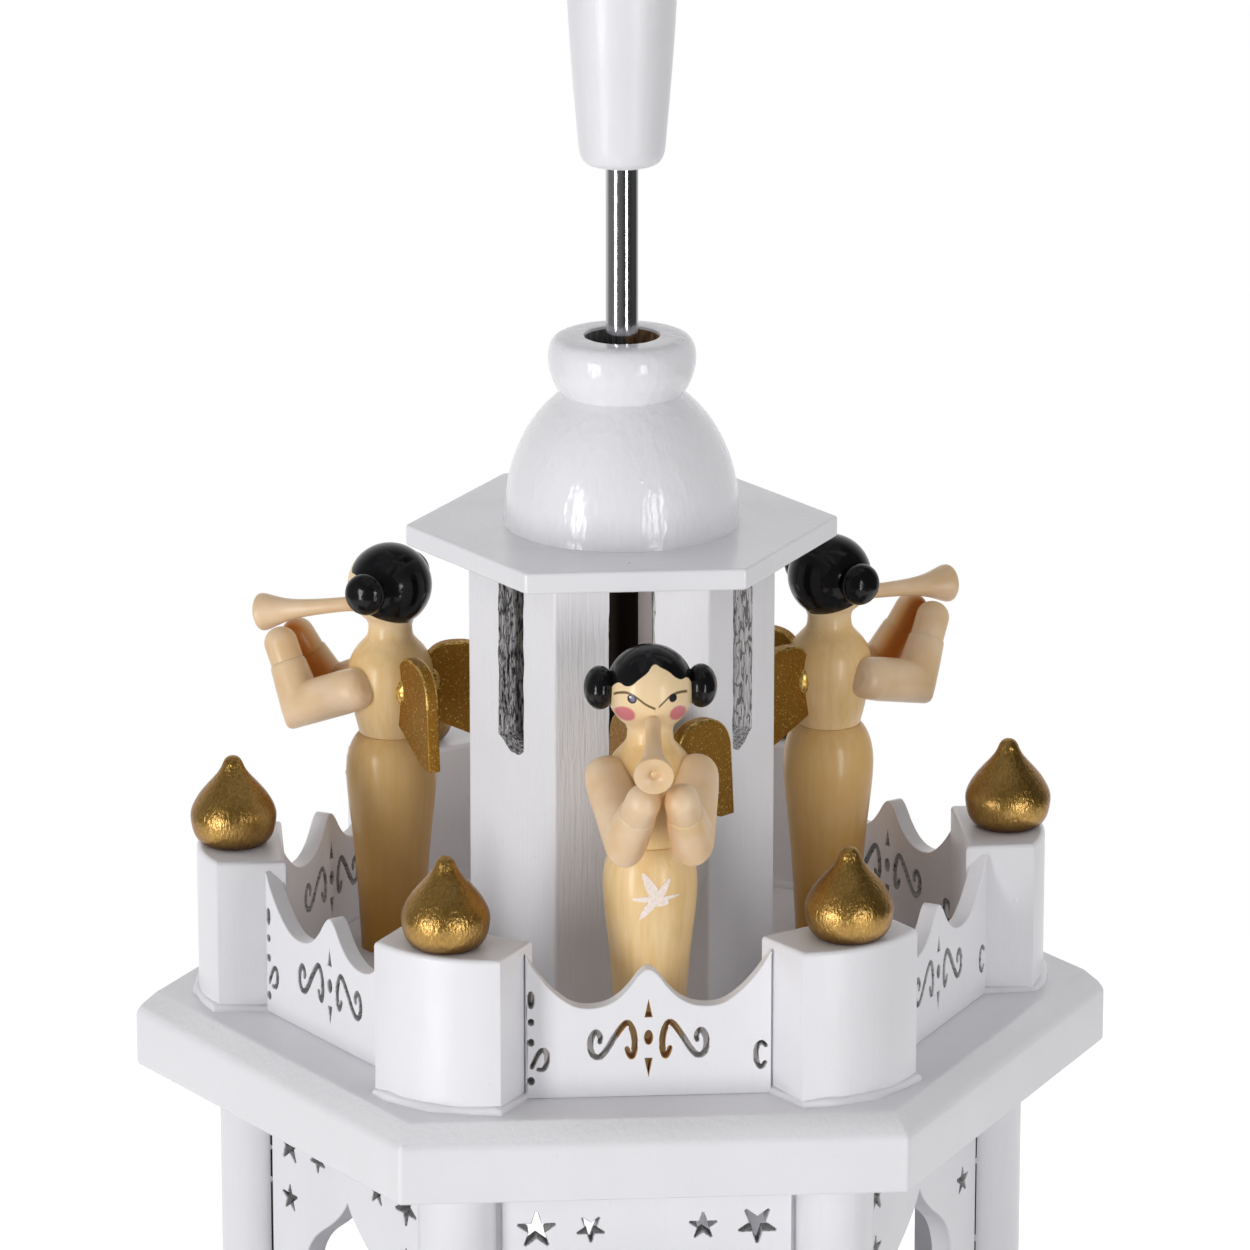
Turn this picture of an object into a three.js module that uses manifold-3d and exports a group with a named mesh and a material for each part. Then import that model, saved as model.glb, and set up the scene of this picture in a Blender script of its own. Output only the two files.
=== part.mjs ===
// Christmas pyramid: a six-sided painted wooden tower with trumpet angels on its deck. Warm air from
// tealights in the base turns the blades, the shaft and the turntable in the lower storey.
// Millimetres, +Z up, origin under the middle of the base. The front face looks along -Y.

import * as THREE from 'three';
import { mergeVertices } from 'three/addons/utils/BufferGeometryUtils.js';
import Module from 'manifold-3d';

const wasm = await Module();
wasm.setup();

// Layout
const SIDES = 6;
const ANGELS = 3;
const TREES = 3;
const GAP = 0.3; // clearance between pieces that are glued or run beside each other
const FACETS = { fine: 24, medium: 20, small: 12, tiny: 8 }; // sides of a turned piece, by its size

// Base board
const BASE_R = 142; // to the corners
const BASE_T = 18;
const BASE_BEVEL = 3;
const WELL_R = 20.5; // tealight well
const WELL_DEPTH = 10;
const WELL_RIM = 5.5; // wood left between a well and the edge

// Lower storey
const STOREY_H = 105;
const COLUMN_SETBACK = 19; // from the deck's corner to the column's axis
const COLUMN_R = 6;
const COLUMN_EDGE = 0.6;
const ARCH_T = 3.5;
const ARCH_JAMB = 9.2; // wood left on each side of the arch
const ARCH_DROP = 14.5; // from the deck to the arch's tip
const ARCH_RISE = 18; // from the springing to the tip
const ARCH_BEND = 0.4923; // where the ogee changes its bend, as a share of the half width
const ARCH_BEND_DROP = 6.2;
const ARCH_LIFT = 0.4; // how far the sides run on upwards, as a share of the rise
const ARCH_TIP_HALF = 1; // width and height of the drawn-out tip
const ARCH_TIP_H = 2;
const STAR_BIG_R = 2.95;
const STAR_SMALL_R = 2.15;
const STAR_INNER = 0.42; // inner radius of a star as a share of its outer radius
const STAR_ROW_DROP = 10;
const STAR_EDGE = 5.5; // from the panel's edge to the outer stars
const STAR_STEP = 8.2; // from an outer star to the next
const STAR_JAMB_DROP = 18.8;

// Deck board
const DECK_R = 76;
const DECK_T = 12;
const DECK_BEVEL_H = 3.3;
const DECK_BEVEL_W = 2.5;
const SHAFT_HOLE_R = 6;

// Railing
const POST_SETBACK = 10; // from the deck's corner to the post's round face
const POST_DEPTH = 11.5;
const POST_W = 21;
const POST_H = 24;
const POST_ARC_R = 21;
const ONION_R = 6.65;
const ONION_H = 14;
const RAIL_SETBACK = 12; // from the deck's edge to the panel's outer face
const RAIL_T = 2.7;
const RAIL_DIP_H = 13.6;
const RAIL_PEAK_H = 20;
const RAIL_PITCH = 17.2;
const RAIL_REACH = 1.3; // half length in pitches, before the panel is trimmed to the posts
const SCROLL_STROKE = 0.85;
const ORNAMENT_HALF = 0.55; // half width of the wedges and of the oval between them
const WEDGE_UP = { base: 11.9, tip: 14.1 };
const WEDGE_DOWN = { base: 5.6, tip: 3.3 };
const OVAL_Z = 8.8;
const OVAL_HALF_H = 1;

// Tower, roof and cap
const TOWER_SETBACK = 52.3; // from the deck's corner to the tower's corner
const TOWER_WALL = 6;
const TOWER_H = 71.2;
const SLOT_W = 7;
const SLOT_H = 30;
const ROOF_OVERHANG = 9.6; // past the tower's corner
const ROOF_T = 3.3;
const CAP_R = 18;
const DOME_STRAIGHT = 2;
const DOME_RISE = 21.6; // upright half axis of the dome's ellipse
const DOME_H = 20.4;
const COLLAR_H = 9;
const COLLAR_R = 11.3;
const COLLAR_TOP_R = 9.2;
const CAP_BORE_R = 5.75;
const BUSH_H = 8;
const BUSH_DEPTH = 4; // below the collar's top

// Angels
const ANGEL_OUTSET = 3; // from midway between tower and railing
const SKIRT_H = 34.5;
const SKIRT_R = 7.3;
const SKIRT_FOOT_R = 4.7;
const WAIST_R = 5.4;
const TORSO_R = 6.45;
const TORSO_H = 16.5;
const NECK_R = 3.2;
const NECK_H = 2.6;
const HEAD_R = 6.6;
const BUN_R = 3.1;
const BUN_T = 4.4;
const ARM_R = 3.3;
const FOREARM_R = 2.75;
const ARM_REACH = 14;
const ARM_DROP = 4;
const TRUMPET_L = 17.5;
const TRUMPET_R = 1;
const BELL_R = 3;
const TRUMPET_DROOP = 8; // degrees
const WING_L = 13;
const WING_H = 16.5;
const WING_T = 2;
const WING_SWEEP = 40; // degrees, back from the shoulder line

// Rotor
const SHAFT_R = 2.5;
const CUP_R = 7;
const CUP_H = 6;
const TABLE_LIFT = 14; // underside above the base
const TABLE_T = 5;
const TABLE_EDGE = 1;
const TABLE_CLEAR = 5.5; // to the arch panels
const BOSS_R = 9;
const BOSS_H = 8;
const TREE_R = 11;
const TREE_H = 52;
const TREE_EDGE = 4;
const SHAFT_SHOWING = 26.6; // from the cap to the hub
const HUB_FOOT_R = 6.6;
const HUB_EDGE = 2.6; // height of the rounding at the foot
const HUB_NECK_R = 8.6;
const HUB_NECK_H = 58;
const HUB_HEAD_R = 18;
const HUB_HEAD_H = 24;
const HUB_BORE_H = 40;
const KNOB_R = 6;
const BLADE_TIP = 135; // radius of the fan
const BLADE_START = 30;
const BLADE_ROOT_W = 20;
const BLADE_TIP_W = 46;
const BLADE_T = 2.2;
const BLADE_PITCH = 35; // degrees from level
const DOWEL_R = 2;
const DOWEL_SEAT = 9; // depth in the hub
const DOWEL_GRIP = 14; // length in the blade

// Heights
const deckLow = BASE_T + STOREY_H;
const deckTop = deckLow + DECK_T;
const towerTop = deckTop + TOWER_H;
const roofTop = towerTop + ROOF_T;
const capH = DOME_H + COLLAR_H;
const capTop = roofTop + capH;
const hubLow = capTop + SHAFT_SHOWING;
const bladeZ = hubLow + HUB_NECK_H + HUB_HEAD_H / 2;

// Radii and half widths that follow from the sizes above
const flat = Math.cos(Math.PI / SIDES); // apothem of a hexagon as a share of its corner radius
const turn = (2 * Math.PI) / SIDES;
const rad = THREE.MathUtils.degToRad;
const wellCircle = BASE_R - (WELL_R + WELL_RIM) / flat;
const columnCircle = DECK_R - COLUMN_SETBACK;
const archPlane = columnCircle * flat;
const archHalfWidth = columnCircle * Math.sin(Math.PI / SIDES) - COLUMN_R - GAP;
const archHalf = archHalfWidth - ARCH_JAMB;
const archBendX = archHalf * ARCH_BEND;
const starBigX = archHalfWidth - STAR_EDGE;
const starSmallX = starBigX - STAR_STEP;
const postFace = DECK_R - POST_SETBACK;
const railOuter = DECK_R * flat - RAIL_SETBACK;
const railInner = railOuter - RAIL_T;
const towerR = DECK_R - TOWER_SETBACK;
const roofR = towerR + ROOF_OVERHANG;
const angelCircle = (towerR * flat + railInner) / 2 + ANGEL_OUTSET;
const tableR = archPlane - ARCH_T / 2 - TABLE_CLEAR;

const group = new THREE.Group();

// Solids and placing

const bare = (geometry) => {
  const copy = geometry.clone();
  copy.deleteAttribute('normal');
  copy.deleteAttribute('uv');
  const merged = mergeVertices(copy, 1e-4);
  const index = [];
  for (let i = 0; i < merged.index.count; i += 3) {
    const [a, b, c] = [0, 1, 2].map((k) => merged.index.getX(i + k));
    if (a !== b && b !== c && c !== a) index.push(a, b, c);
  }
  merged.setIndex(index);
  return merged;
};

const solid = (geometry) => {
  const { attributes, index } = bare(geometry);
  const vertProperties = new Float32Array(attributes.position.array);
  return new wasm.Manifold(
    new wasm.Mesh({ numProp: 3, vertProperties, triVerts: new Uint32Array(index.array) }),
  );
};

const geometryOf = (manifold) => {
  const { vertProperties, triVerts } = manifold.getMesh();
  const geometry = new THREE.BufferGeometry();
  geometry.setAttribute('position', new THREE.BufferAttribute(vertProperties, 3));
  geometry.setIndex(new THREE.BufferAttribute(triVerts, 1));
  return geometry;
};

const joined = (geometries) => geometries.map(solid).reduce((a, b) => a.add(b));

const cut = (geometry, tools) => geometryOf(
  tools.map(solid).reduce((rest, tool) => rest.subtract(tool), solid(geometry)),
);

const add = (name, geometry, look, parent = group) => {
  const mesh = new THREE.Mesh(geometry, new THREE.MeshStandardMaterial(look));
  mesh.name = name;
  parent.add(mesh);
  return mesh;
};

// A group turned about the object's axis: 0 is the front, and the angle runs towards +X
const turned = (angle) => {
  const holder = new THREE.Group();
  holder.rotation.z = angle;
  group.add(holder);
  return holder;
};

// A turned solid about +Z from points (radius, height), round or with flat sides
const lathe = (points, segments, start = 0) => bare(
  new THREE.LatheGeometry(points.map(([r, z]) => new THREE.Vector2(r, z)), segments, start)
    .rotateX(Math.PI / 2),
);
const sixSided = (points) => lathe(points, SIDES, Math.PI / SIDES);

const rod = (r, low, high, segments) => lathe([[0, low], [r, low], [r, high], [0, high]], segments);

// A plate whose outline lies in x and z, with its inner face at y = -inner and growing outwards
const upright = (shape, thickness, inner, curveSegments) => new THREE.ExtrudeGeometry(
  shape, { depth: thickness, bevelEnabled: false, curveSegments },
).rotateX(Math.PI / 2).translate(0, -inner, 0);

const white = { color: 0xe9e9ec, roughness: 0.45 };
const gold = { color: 0x9a7433, roughness: 0.38, metalness: 0.8 };
const wood = { color: 0xd9b77c, roughness: 0.4 };
const resin = { color: 0xe6c9a6, roughness: 0.35 };
const steel = { color: 0xb9bcc0, roughness: 0.15, metalness: 1 };
const brass = { color: 0xc49a45, roughness: 0.3, metalness: 1 };

// Base board: six-sided, with a well for each tealight and a pocket for the bearing cup
const cornerAngle = (k) => (k + 0.5) * turn;
const baseWells = [];
for (let k = 0; k < SIDES; k += 1) {
  const well = rod(WELL_R, BASE_T - WELL_DEPTH, BASE_T + GAP, FACETS.medium);
  baseWells.push(well.translate(0, -wellCircle, 0).rotateZ(cornerAngle(k)));
}
const cupPocket = rod(CUP_R + GAP, BASE_T - CUP_H, BASE_T + GAP, FACETS.small);
add('base_board', cut(sixSided([
  [0, 0], [BASE_R, 0], [BASE_R, BASE_T - BASE_BEVEL], [BASE_R - BASE_BEVEL, BASE_T], [0, BASE_T],
]), [...baseWells, cupPocket]), white);

// Bearing cup: a brass cup let into the base, with a cone for the shaft's point
const coneR = SHAFT_R + 3 * GAP;
add('bearing_cup', lathe([
  [0, BASE_T - CUP_H], [CUP_R, BASE_T - CUP_H], [CUP_R, BASE_T],
  [coneR, BASE_T], [0, BASE_T - coneR],
], FACETS.small), brass);

// Columns: plain turned rods between base and deck, one under each post
for (let k = 0; k < SIDES; k += 1) {
  const column = lathe([
    [0, BASE_T], [COLUMN_R - COLUMN_EDGE, BASE_T], [COLUMN_R, BASE_T + COLUMN_EDGE],
    [COLUMN_R, deckLow - COLUMN_EDGE], [COLUMN_R - COLUMN_EDGE, deckLow], [0, deckLow],
  ], FACETS.small);
  add(`column_${k + 1}`, column.translate(0, -columnCircle, 0), white, turned(cornerAngle(k)));
}

// Arch panels: sawn board with an ogee arch and star cut-outs, between each two columns
const star = (x, z, r, up) => {
  const path = new THREE.Path();
  for (let i = 0; i < 10; i += 1) {
    const reach = i % 2 ? r * STAR_INNER : r;
    const angle = Math.PI * (i / 5 + (up ? 0.5 : -0.5));
    path[i ? 'lineTo' : 'moveTo'](x + reach * Math.cos(angle), z + reach * Math.sin(angle));
  }
  path.closePath();
  return path;
};
const archShape = () => {
  const tip = deckLow - ARCH_DROP;
  const spring = tip - ARCH_RISE;
  const bend = tip - ARCH_BEND_DROP;
  const lift = ARCH_RISE * ARCH_LIFT;
  const shape = new THREE.Shape();
  shape.moveTo(archHalf, BASE_T);
  shape.lineTo(archHalfWidth, BASE_T);
  shape.lineTo(archHalfWidth, deckLow);
  shape.lineTo(-archHalfWidth, deckLow);
  shape.lineTo(-archHalfWidth, BASE_T);
  shape.lineTo(-archHalf, BASE_T);
  shape.lineTo(-archHalf, spring);
  shape.bezierCurveTo(
    -archHalf, spring + lift, -archBendX * 1.5, bend - ARCH_BEND_DROP / 3, -archBendX, bend,
  );
  const tipLow = tip - ARCH_TIP_H;
  const above = bend + ARCH_BEND_DROP / 3;
  shape.bezierCurveTo(-archBendX / 2, above, -ARCH_TIP_HALF, tipLow, 0, tip);
  shape.bezierCurveTo(ARCH_TIP_HALF, tipLow, archBendX / 2, above, archBendX, bend);
  shape.bezierCurveTo(
    archBendX * 1.5, bend - ARCH_BEND_DROP / 3, archHalf, spring + lift, archHalf, spring,
  );
  const row = deckLow - STAR_ROW_DROP;
  const jamb = deckLow - STAR_JAMB_DROP;
  shape.holes.push(
    star(-starBigX, row, STAR_BIG_R, true),
    star(-starSmallX, row, STAR_SMALL_R, false),
    star(starSmallX, row, STAR_SMALL_R, true),
    star(starBigX, row, STAR_BIG_R, false),
    star(-starBigX, jamb, STAR_SMALL_R, true),
    star(starBigX, jamb, STAR_SMALL_R, true),
  );
  return shape;
};
for (let k = 0; k < SIDES; k += 1) {
  const panel = upright(archShape(), ARCH_T, archPlane - ARCH_T / 2, 4);
  add(`arch_panel_${k + 1}`, panel, white, turned(k * turn));
}

// Deck board: six-sided, bevelled round its top edge
const shaftHole = (low, high) => rod(SHAFT_HOLE_R, low - GAP, high + GAP, FACETS.small);
add('deck_board', cut(sixSided([
  [0, deckLow], [DECK_R, deckLow], [DECK_R, deckTop - DECK_BEVEL_H],
  [DECK_R - DECK_BEVEL_W / 3, deckTop - DECK_BEVEL_H / 3], [DECK_R - DECK_BEVEL_W, deckTop], [0, deckTop],
]), [shaftHole(deckLow, deckTop)]), white);

// Corner posts: block with sides along the radius and a round outer face
const postShape = (margin) => {
  const half = POST_W / 2 + margin;
  const arcHalf = Math.asin(POST_W / 2 / POST_ARC_R);
  const shape = new THREE.Shape();
  shape.moveTo(-half, -(postFace - POST_DEPTH - margin));
  shape.lineTo(-half, -(postFace - POST_ARC_R * (1 - Math.cos(arcHalf))));
  shape.absarc(
    0, -(postFace - POST_ARC_R), POST_ARC_R + margin, -Math.PI / 2 - arcHalf, -Math.PI / 2 + arcHalf,
  );
  shape.lineTo(half, -(postFace - POST_DEPTH - margin));
  shape.closePath();
  return shape;
};
const postSolid = (margin) => new THREE.ExtrudeGeometry(
  postShape(margin), { depth: POST_H, bevelEnabled: false, curveSegments: 8 },
).translate(0, 0, deckTop);

// Onion finials: turned ogee with a nub, one on each post
const onionProfile = [
  [0.7, 0], [0.93, 0.13], [1, 0.33], [0.89, 0.54], [0.59, 0.71], [0.29, 0.86], [0.17, 0.95],
];
const onion = lathe([
  [0, 0], ...onionProfile.map(([r, z]) => [r * ONION_R, z * ONION_H]), [0, ONION_H],
], FACETS.small);
for (let k = 0; k < SIDES; k += 1) {
  const corner = turned(cornerAngle(k));
  add(`post_${k + 1}`, postSolid(0), white, corner);
  const finial = add(`onion_finial_${k + 1}`, onion.clone(), gold, corner);
  finial.position.set(0, -(postFace - POST_DEPTH / 2), deckTop + POST_H);
}

// Railing panels: thin ply with a scalloped top and a cut-out ornament, fitted between the posts
const scrollLine = [
  [3.6, 6.7], [2.5, 6.3], [2, 8], [3.2, 10.6], [4.7, 9.2],
  [5.9, 7.2], [7.3, 6.2], [8.3, 7.6], [7.7, 9.3], [6.5, 9],
];
const scroll = (side) => {
  const curve = new THREE.SplineCurve(scrollLine.map(([x, z]) => new THREE.Vector2(side * x, z)));
  const steps = 12;
  const edge = (sign) => Array.from({ length: steps + 1 }, (_, i) => {
    const along = curve.getTangent(i / steps);
    const across = new THREE.Vector2(-along.y, along.x);
    return curve.getPoint(i / steps).addScaledVector(across, (sign * SCROLL_STROKE) / 2);
  });
  return new THREE.Path([...edge(1), ...edge(-1).reverse()]);
};
const wedge = ({ base, tip }) => new THREE.Path([
  new THREE.Vector2(-ORNAMENT_HALF, base), new THREE.Vector2(ORNAMENT_HALF, base),
  new THREE.Vector2(0, tip),
]);
const railShape = () => {
  const half = RAIL_PITCH * RAIL_REACH;
  const dip = RAIL_PEAK_H - RAIL_DIP_H;
  const dipR = (RAIL_PITCH ** 2 / 4 + dip ** 2) / (2 * dip);
  const top = (x) => {
    const fromDip = (((x / RAIL_PITCH) % 1) + 1) % 1 * RAIL_PITCH - RAIL_PITCH / 2;
    return RAIL_DIP_H + dipR - Math.sqrt(dipR ** 2 - fromDip ** 2);
  };
  const shape = new THREE.Shape();
  shape.moveTo(-half, 0);
  shape.lineTo(half, 0);
  const steps = 24;
  for (let i = 0; i <= steps; i += 1) {
    const x = half - (2 * half * i) / steps;
    shape.lineTo(x, top(x));
  }
  shape.closePath();
  const oval = new THREE.Path();
  oval.absellipse(0, OVAL_Z, ORNAMENT_HALF, OVAL_HALF_H, 0, 2 * Math.PI);
  shape.holes.push(scroll(-1), scroll(1), wedge(WEDGE_UP), oval, wedge(WEDGE_DOWN));
  return shape;
};
const postCutters = [-1, 1].map((side) => postSolid(GAP).rotateZ((side * turn) / 2));
for (let k = 0; k < SIDES; k += 1) {
  const panel = upright(railShape(), RAIL_T, railInner, 4).translate(0, 0, deckTop);
  add(`railing_panel_${k + 1}`, cut(panel, postCutters), white, turned(k * turn));
}

// Tower: hollow and six-sided, each face slotted down from the top
const slotCut = () => {
  const low = towerTop - SLOT_H + SLOT_W / 2;
  const shape = new THREE.Shape();
  shape.moveTo(SLOT_W / 2, low);
  shape.lineTo(SLOT_W / 2, towerTop + GAP);
  shape.lineTo(-SLOT_W / 2, towerTop + GAP);
  shape.lineTo(-SLOT_W / 2, low);
  shape.absarc(0, low, SLOT_W / 2, Math.PI, 2 * Math.PI);
  return upright(shape, 2 * towerR, -towerR, 4);
};
const towerBore = rod(towerR * flat - TOWER_WALL, deckTop - GAP, towerTop + GAP, FACETS.fine);
const slotCuts = Array.from({ length: SIDES / 2 }, (_, k) => slotCut().rotateZ(k * turn));
add('tower', cut(sixSided([
  [0, deckTop], [towerR, deckTop], [towerR, towerTop], [0, towerTop],
]), [towerBore, ...slotCuts]), white);

// Roof plate: six-sided, over the tower's open slots
add('roof_plate', cut(sixSided([
  [0, towerTop], [roofR, towerTop], [roofR, roofTop], [0, roofTop],
]), [shaftHole(towerTop, roofTop)]), white);

// Dome cap: turned dome with a bead collar, bored wide for the guide bush
const domePoints = Array.from({ length: 7 }, (_, i) => {
  const z = ((DOME_H - DOME_STRAIGHT) * i) / 6;
  return [CAP_R * Math.sqrt(1 - (z / DOME_RISE) ** 2), roofTop + DOME_STRAIGHT + z];
});
const collarPoints = Array.from({ length: 6 }, (_, i) => {
  const level = (i + 0.5) / 5.5;
  const bulge = Math.sqrt(Math.max(0, 1 - (2 * level - 1) ** 2));
  return [COLLAR_TOP_R + (COLLAR_R - COLLAR_TOP_R) * bulge, roofTop + DOME_H + COLLAR_H * level];
});
add('dome_cap', lathe([
  [CAP_BORE_R, roofTop], [CAP_R, roofTop], ...domePoints, ...collarPoints,
  [CAP_BORE_R, capTop], [CAP_BORE_R, roofTop],
], FACETS.fine), white);

// Guide bush: keeps the shaft upright in the cap
const bushTop = capTop - BUSH_DEPTH;
add('guide_bush', lathe([
  [SHAFT_R + GAP, bushTop - BUSH_H], [CAP_BORE_R - GAP, bushTop - BUSH_H], [CAP_BORE_R - GAP, bushTop],
  [SHAFT_R + GAP, bushTop], [SHAFT_R + GAP, bushTop - BUSH_H],
], FACETS.small), { color: 0x3a2c22, roughness: 0.7 });

// Angels: turned skirt and torso, with glued arms, trumpet and wings, facing outwards
const neckZ = SKIRT_H + TORSO_H;
const headZ = neckZ + NECK_H + Math.sqrt(HEAD_R ** 2 - NECK_R ** 2);
const shoulderZ = SKIRT_H + TORSO_H * 0.56;
const skirtPoints = [
  [0, 0], [SKIRT_FOOT_R, 0], [SKIRT_FOOT_R * 1.12, SKIRT_H * 0.29], [SKIRT_R * 0.88, SKIRT_H * 0.58],
  [SKIRT_R * 0.98, SKIRT_H * 0.75], [SKIRT_R, SKIRT_H * 0.86], [SKIRT_R * 0.92, SKIRT_H * 0.96],
  [WAIST_R, SKIRT_H], [0, SKIRT_H],
];
const torsoPoints = (margin) => {
  const headLow = Math.asin(NECK_R / HEAD_R);
  const head = Array.from({ length: 7 }, (_, i) => {
    const angle = headLow + ((Math.PI - headLow) * i) / 7;
    return [(HEAD_R + margin) * Math.sin(angle), headZ - (HEAD_R + margin) * Math.cos(angle)];
  });
  return [
    [0, SKIRT_H], [WAIST_R + margin, SKIRT_H], [TORSO_R * 0.95 + margin, SKIRT_H + TORSO_H * 0.16],
    [TORSO_R + margin, SKIRT_H + TORSO_H * 0.5], [TORSO_R * 0.94 + margin, SKIRT_H + TORSO_H * 0.8],
    [TORSO_R * 0.7 + margin, SKIRT_H + TORSO_H * 0.94], [NECK_R + margin, neckZ + NECK_H * 0.35],
    ...head, [0, headZ + HEAD_R + margin],
  ];
};
const bun = (side) => new THREE.SphereGeometry(BUN_R, FACETS.tiny, 5).scale(BUN_T / BUN_R / 2, 1, 1)
  .translate(side * (HEAD_R + BUN_T * 0.25), 0, headZ);

const limb = (from, to, r) => {
  const axis = new THREE.Vector3().subVectors(to, from);
  const lay = new THREE.Quaternion().setFromUnitVectors(
    new THREE.Vector3(0, 1, 0), axis.clone().normalize(),
  );
  const middle = new THREE.Vector3().addVectors(from, to).multiplyScalar(0.5);
  return new THREE.CapsuleGeometry(r, axis.length(), 2, FACETS.tiny).applyQuaternion(lay)
    .translate(middle.x, middle.y, middle.z);
};
const armsSolid = () => {
  const mouth = new THREE.Vector3(0, -HEAD_R * 0.86, headZ - HEAD_R * 0.56);
  const droop = rad(TRUMPET_DROOP);
  const trumpet = lathe([
    [0, 0], [TRUMPET_R, 0], [TRUMPET_R * 1.1, TRUMPET_L * 0.5], [TRUMPET_R * 1.5, TRUMPET_L * 0.74],
    [BELL_R * 0.72, TRUMPET_L * 0.9], [BELL_R, TRUMPET_L], [BELL_R * 0.8, TRUMPET_L],
    [BELL_R * 0.25, TRUMPET_L * 0.92], [0, TRUMPET_L * 0.92],
  ], FACETS.tiny).rotateX(Math.PI / 2 + droop).translate(mouth.x, mouth.y, mouth.z);
  const handZ = mouth.z - (ARM_REACH + mouth.y) * Math.tan(droop) - TRUMPET_R - FOREARM_R * 0.8;
  const limbs = [-1, 1].flatMap((side) => {
    const shoulder = new THREE.Vector3(side * (TORSO_R + ARM_R * 0.18), -ARM_R * 0.25, shoulderZ);
    const elbow = new THREE.Vector3(side * TORSO_R * 0.8, -ARM_REACH, shoulderZ - ARM_DROP);
    const hand = new THREE.Vector3(side * FOREARM_R * 0.66, -ARM_REACH - FOREARM_R * 0.1, handZ);
    return [limb(shoulder, elbow, ARM_R), limb(elbow, hand, FOREARM_R)];
  });
  return geometryOf(joined([trumpet, ...limbs]).subtract(solid(lathe(torsoPoints(GAP), FACETS.small))));
};
const wingPlate = (side) => {
  const low = SKIRT_H + GAP * 3;
  const shape = new THREE.Shape();
  shape.moveTo(0, low + WING_H * 0.28);
  shape.lineTo(0, low + WING_H * 0.72);
  shape.bezierCurveTo(
    WING_L * 0.1, low + WING_H, WING_L * 0.3, low + WING_H, WING_L * 0.48, low + WING_H,
  );
  shape.bezierCurveTo(
    WING_L * 0.75, low + WING_H, WING_L * 0.95, low + WING_H * 0.86, WING_L * 0.95, low + WING_H * 0.62,
  );
  shape.lineTo(WING_L, low);
  shape.lineTo(WING_L * 0.78, low);
  shape.closePath();
  const plate = upright(shape, WING_T, -WING_T / 2, 5);
  const faced = side > 0 ? plate : plate.rotateZ(Math.PI);
  return faced.rotateZ(side * rad(WING_SWEEP)).translate(0, TORSO_R + GAP + WING_T * 0.75, 0);
};
const wingsSolid = () => geometryOf(
  joined([wingPlate(1), wingPlate(-1)]).subtract(solid(lathe(torsoPoints(GAP), FACETS.small))),
);
for (let k = 0; k < ANGELS; k += 1) {
  const holder = turned((2 * Math.PI * k) / ANGELS);
  const angel = new THREE.Group();
  angel.position.set(0, -angelCircle, deckTop);
  holder.add(angel);
  const torso = joined([lathe(torsoPoints(0), FACETS.small), bun(-1), bun(1)]);
  add(`angel_${k + 1}_skirt`, lathe(skirtPoints, FACETS.small), wood, angel);
  add(`angel_${k + 1}_torso`, geometryOf(torso), wood, angel);
  add(`angel_${k + 1}_arms`, armsSolid(), resin, angel);
  add(`angel_${k + 1}_wings`, wingsSolid(), gold, angel);
}

// Shaft: steel rod with a point that turns in the bearing cup
const shaftFoot = BASE_T - coneR + 1.5 * GAP;
const shaftTop = hubLow + HUB_BORE_H - GAP;
add('shaft', lathe([
  [0, shaftFoot], [SHAFT_R, shaftFoot + SHAFT_R], [SHAFT_R, shaftTop], [0, shaftTop],
], FACETS.small), steel);

// Turntable: turned disc with a boss on the shaft, and small turned trees glued to it
const tableLow = BASE_T + TABLE_LIFT;
const tableTop = tableLow + TABLE_T;
const tree = lathe([
  [0, -TABLE_T / 2], [TREE_R * 0.24, -TABLE_T / 2], [TREE_R * 0.24, TREE_H * 0.12], [TREE_R, TREE_H * 0.12],
  [TREE_R * 0.45, TREE_H * 0.42], [TREE_R * 0.8, TREE_H * 0.42], [TREE_R * 0.36, TREE_H * 0.7],
  [TREE_R * 0.58, TREE_H * 0.7], [0, TREE_H],
], FACETS.tiny);
const treeCircle = tableR - TREE_R - TREE_EDGE;
const trees = Array.from({ length: TREES }, (_, k) => tree.clone()
  .translate(0, -treeCircle, tableTop).rotateZ((2 * Math.PI * (k + 0.5)) / TREES));
const disc = lathe([
  [SHAFT_R + GAP, tableLow - BOSS_H], [BOSS_R, tableLow - BOSS_H], [BOSS_R, tableLow],
  [tableR - TABLE_EDGE, tableLow], [tableR, tableLow + TABLE_T / 2], [tableR - TABLE_EDGE, tableTop],
  [SHAFT_R + GAP, tableTop],
  [SHAFT_R + GAP, tableLow - BOSS_H],
], FACETS.fine);
add('turntable', geometryOf(joined([disc, ...trees])), white);

// Hub: long turned taper that widens to a head with a radial hole for each blade
const hubHead = hubLow + HUB_NECK_H;
const hubTop = hubHead + HUB_HEAD_H;
const hubBody = lathe([
  [0, hubLow], [HUB_FOOT_R * 0.62, hubLow], [HUB_FOOT_R * 0.9, hubLow + HUB_EDGE * 0.3],
  [HUB_FOOT_R, hubLow + HUB_EDGE],
  [HUB_NECK_R * 0.93, hubLow + HUB_NECK_H * 0.56], [HUB_NECK_R, hubHead - HUB_EDGE],
  [HUB_HEAD_R * 0.75, hubHead + HUB_HEAD_H * 0.12], [HUB_HEAD_R, hubHead + HUB_HEAD_H * 0.3],
  [HUB_HEAD_R, hubHead + HUB_HEAD_H * 0.7], [HUB_HEAD_R * 0.72, hubHead + HUB_HEAD_H * 0.92],
  [KNOB_R, hubTop], [0, hubTop],
], FACETS.medium);
const hubBore = rod(SHAFT_R + GAP, hubLow - GAP, hubLow + HUB_BORE_H, FACETS.small);
const seatEnd = HUB_HEAD_R - DOWEL_SEAT;
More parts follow.
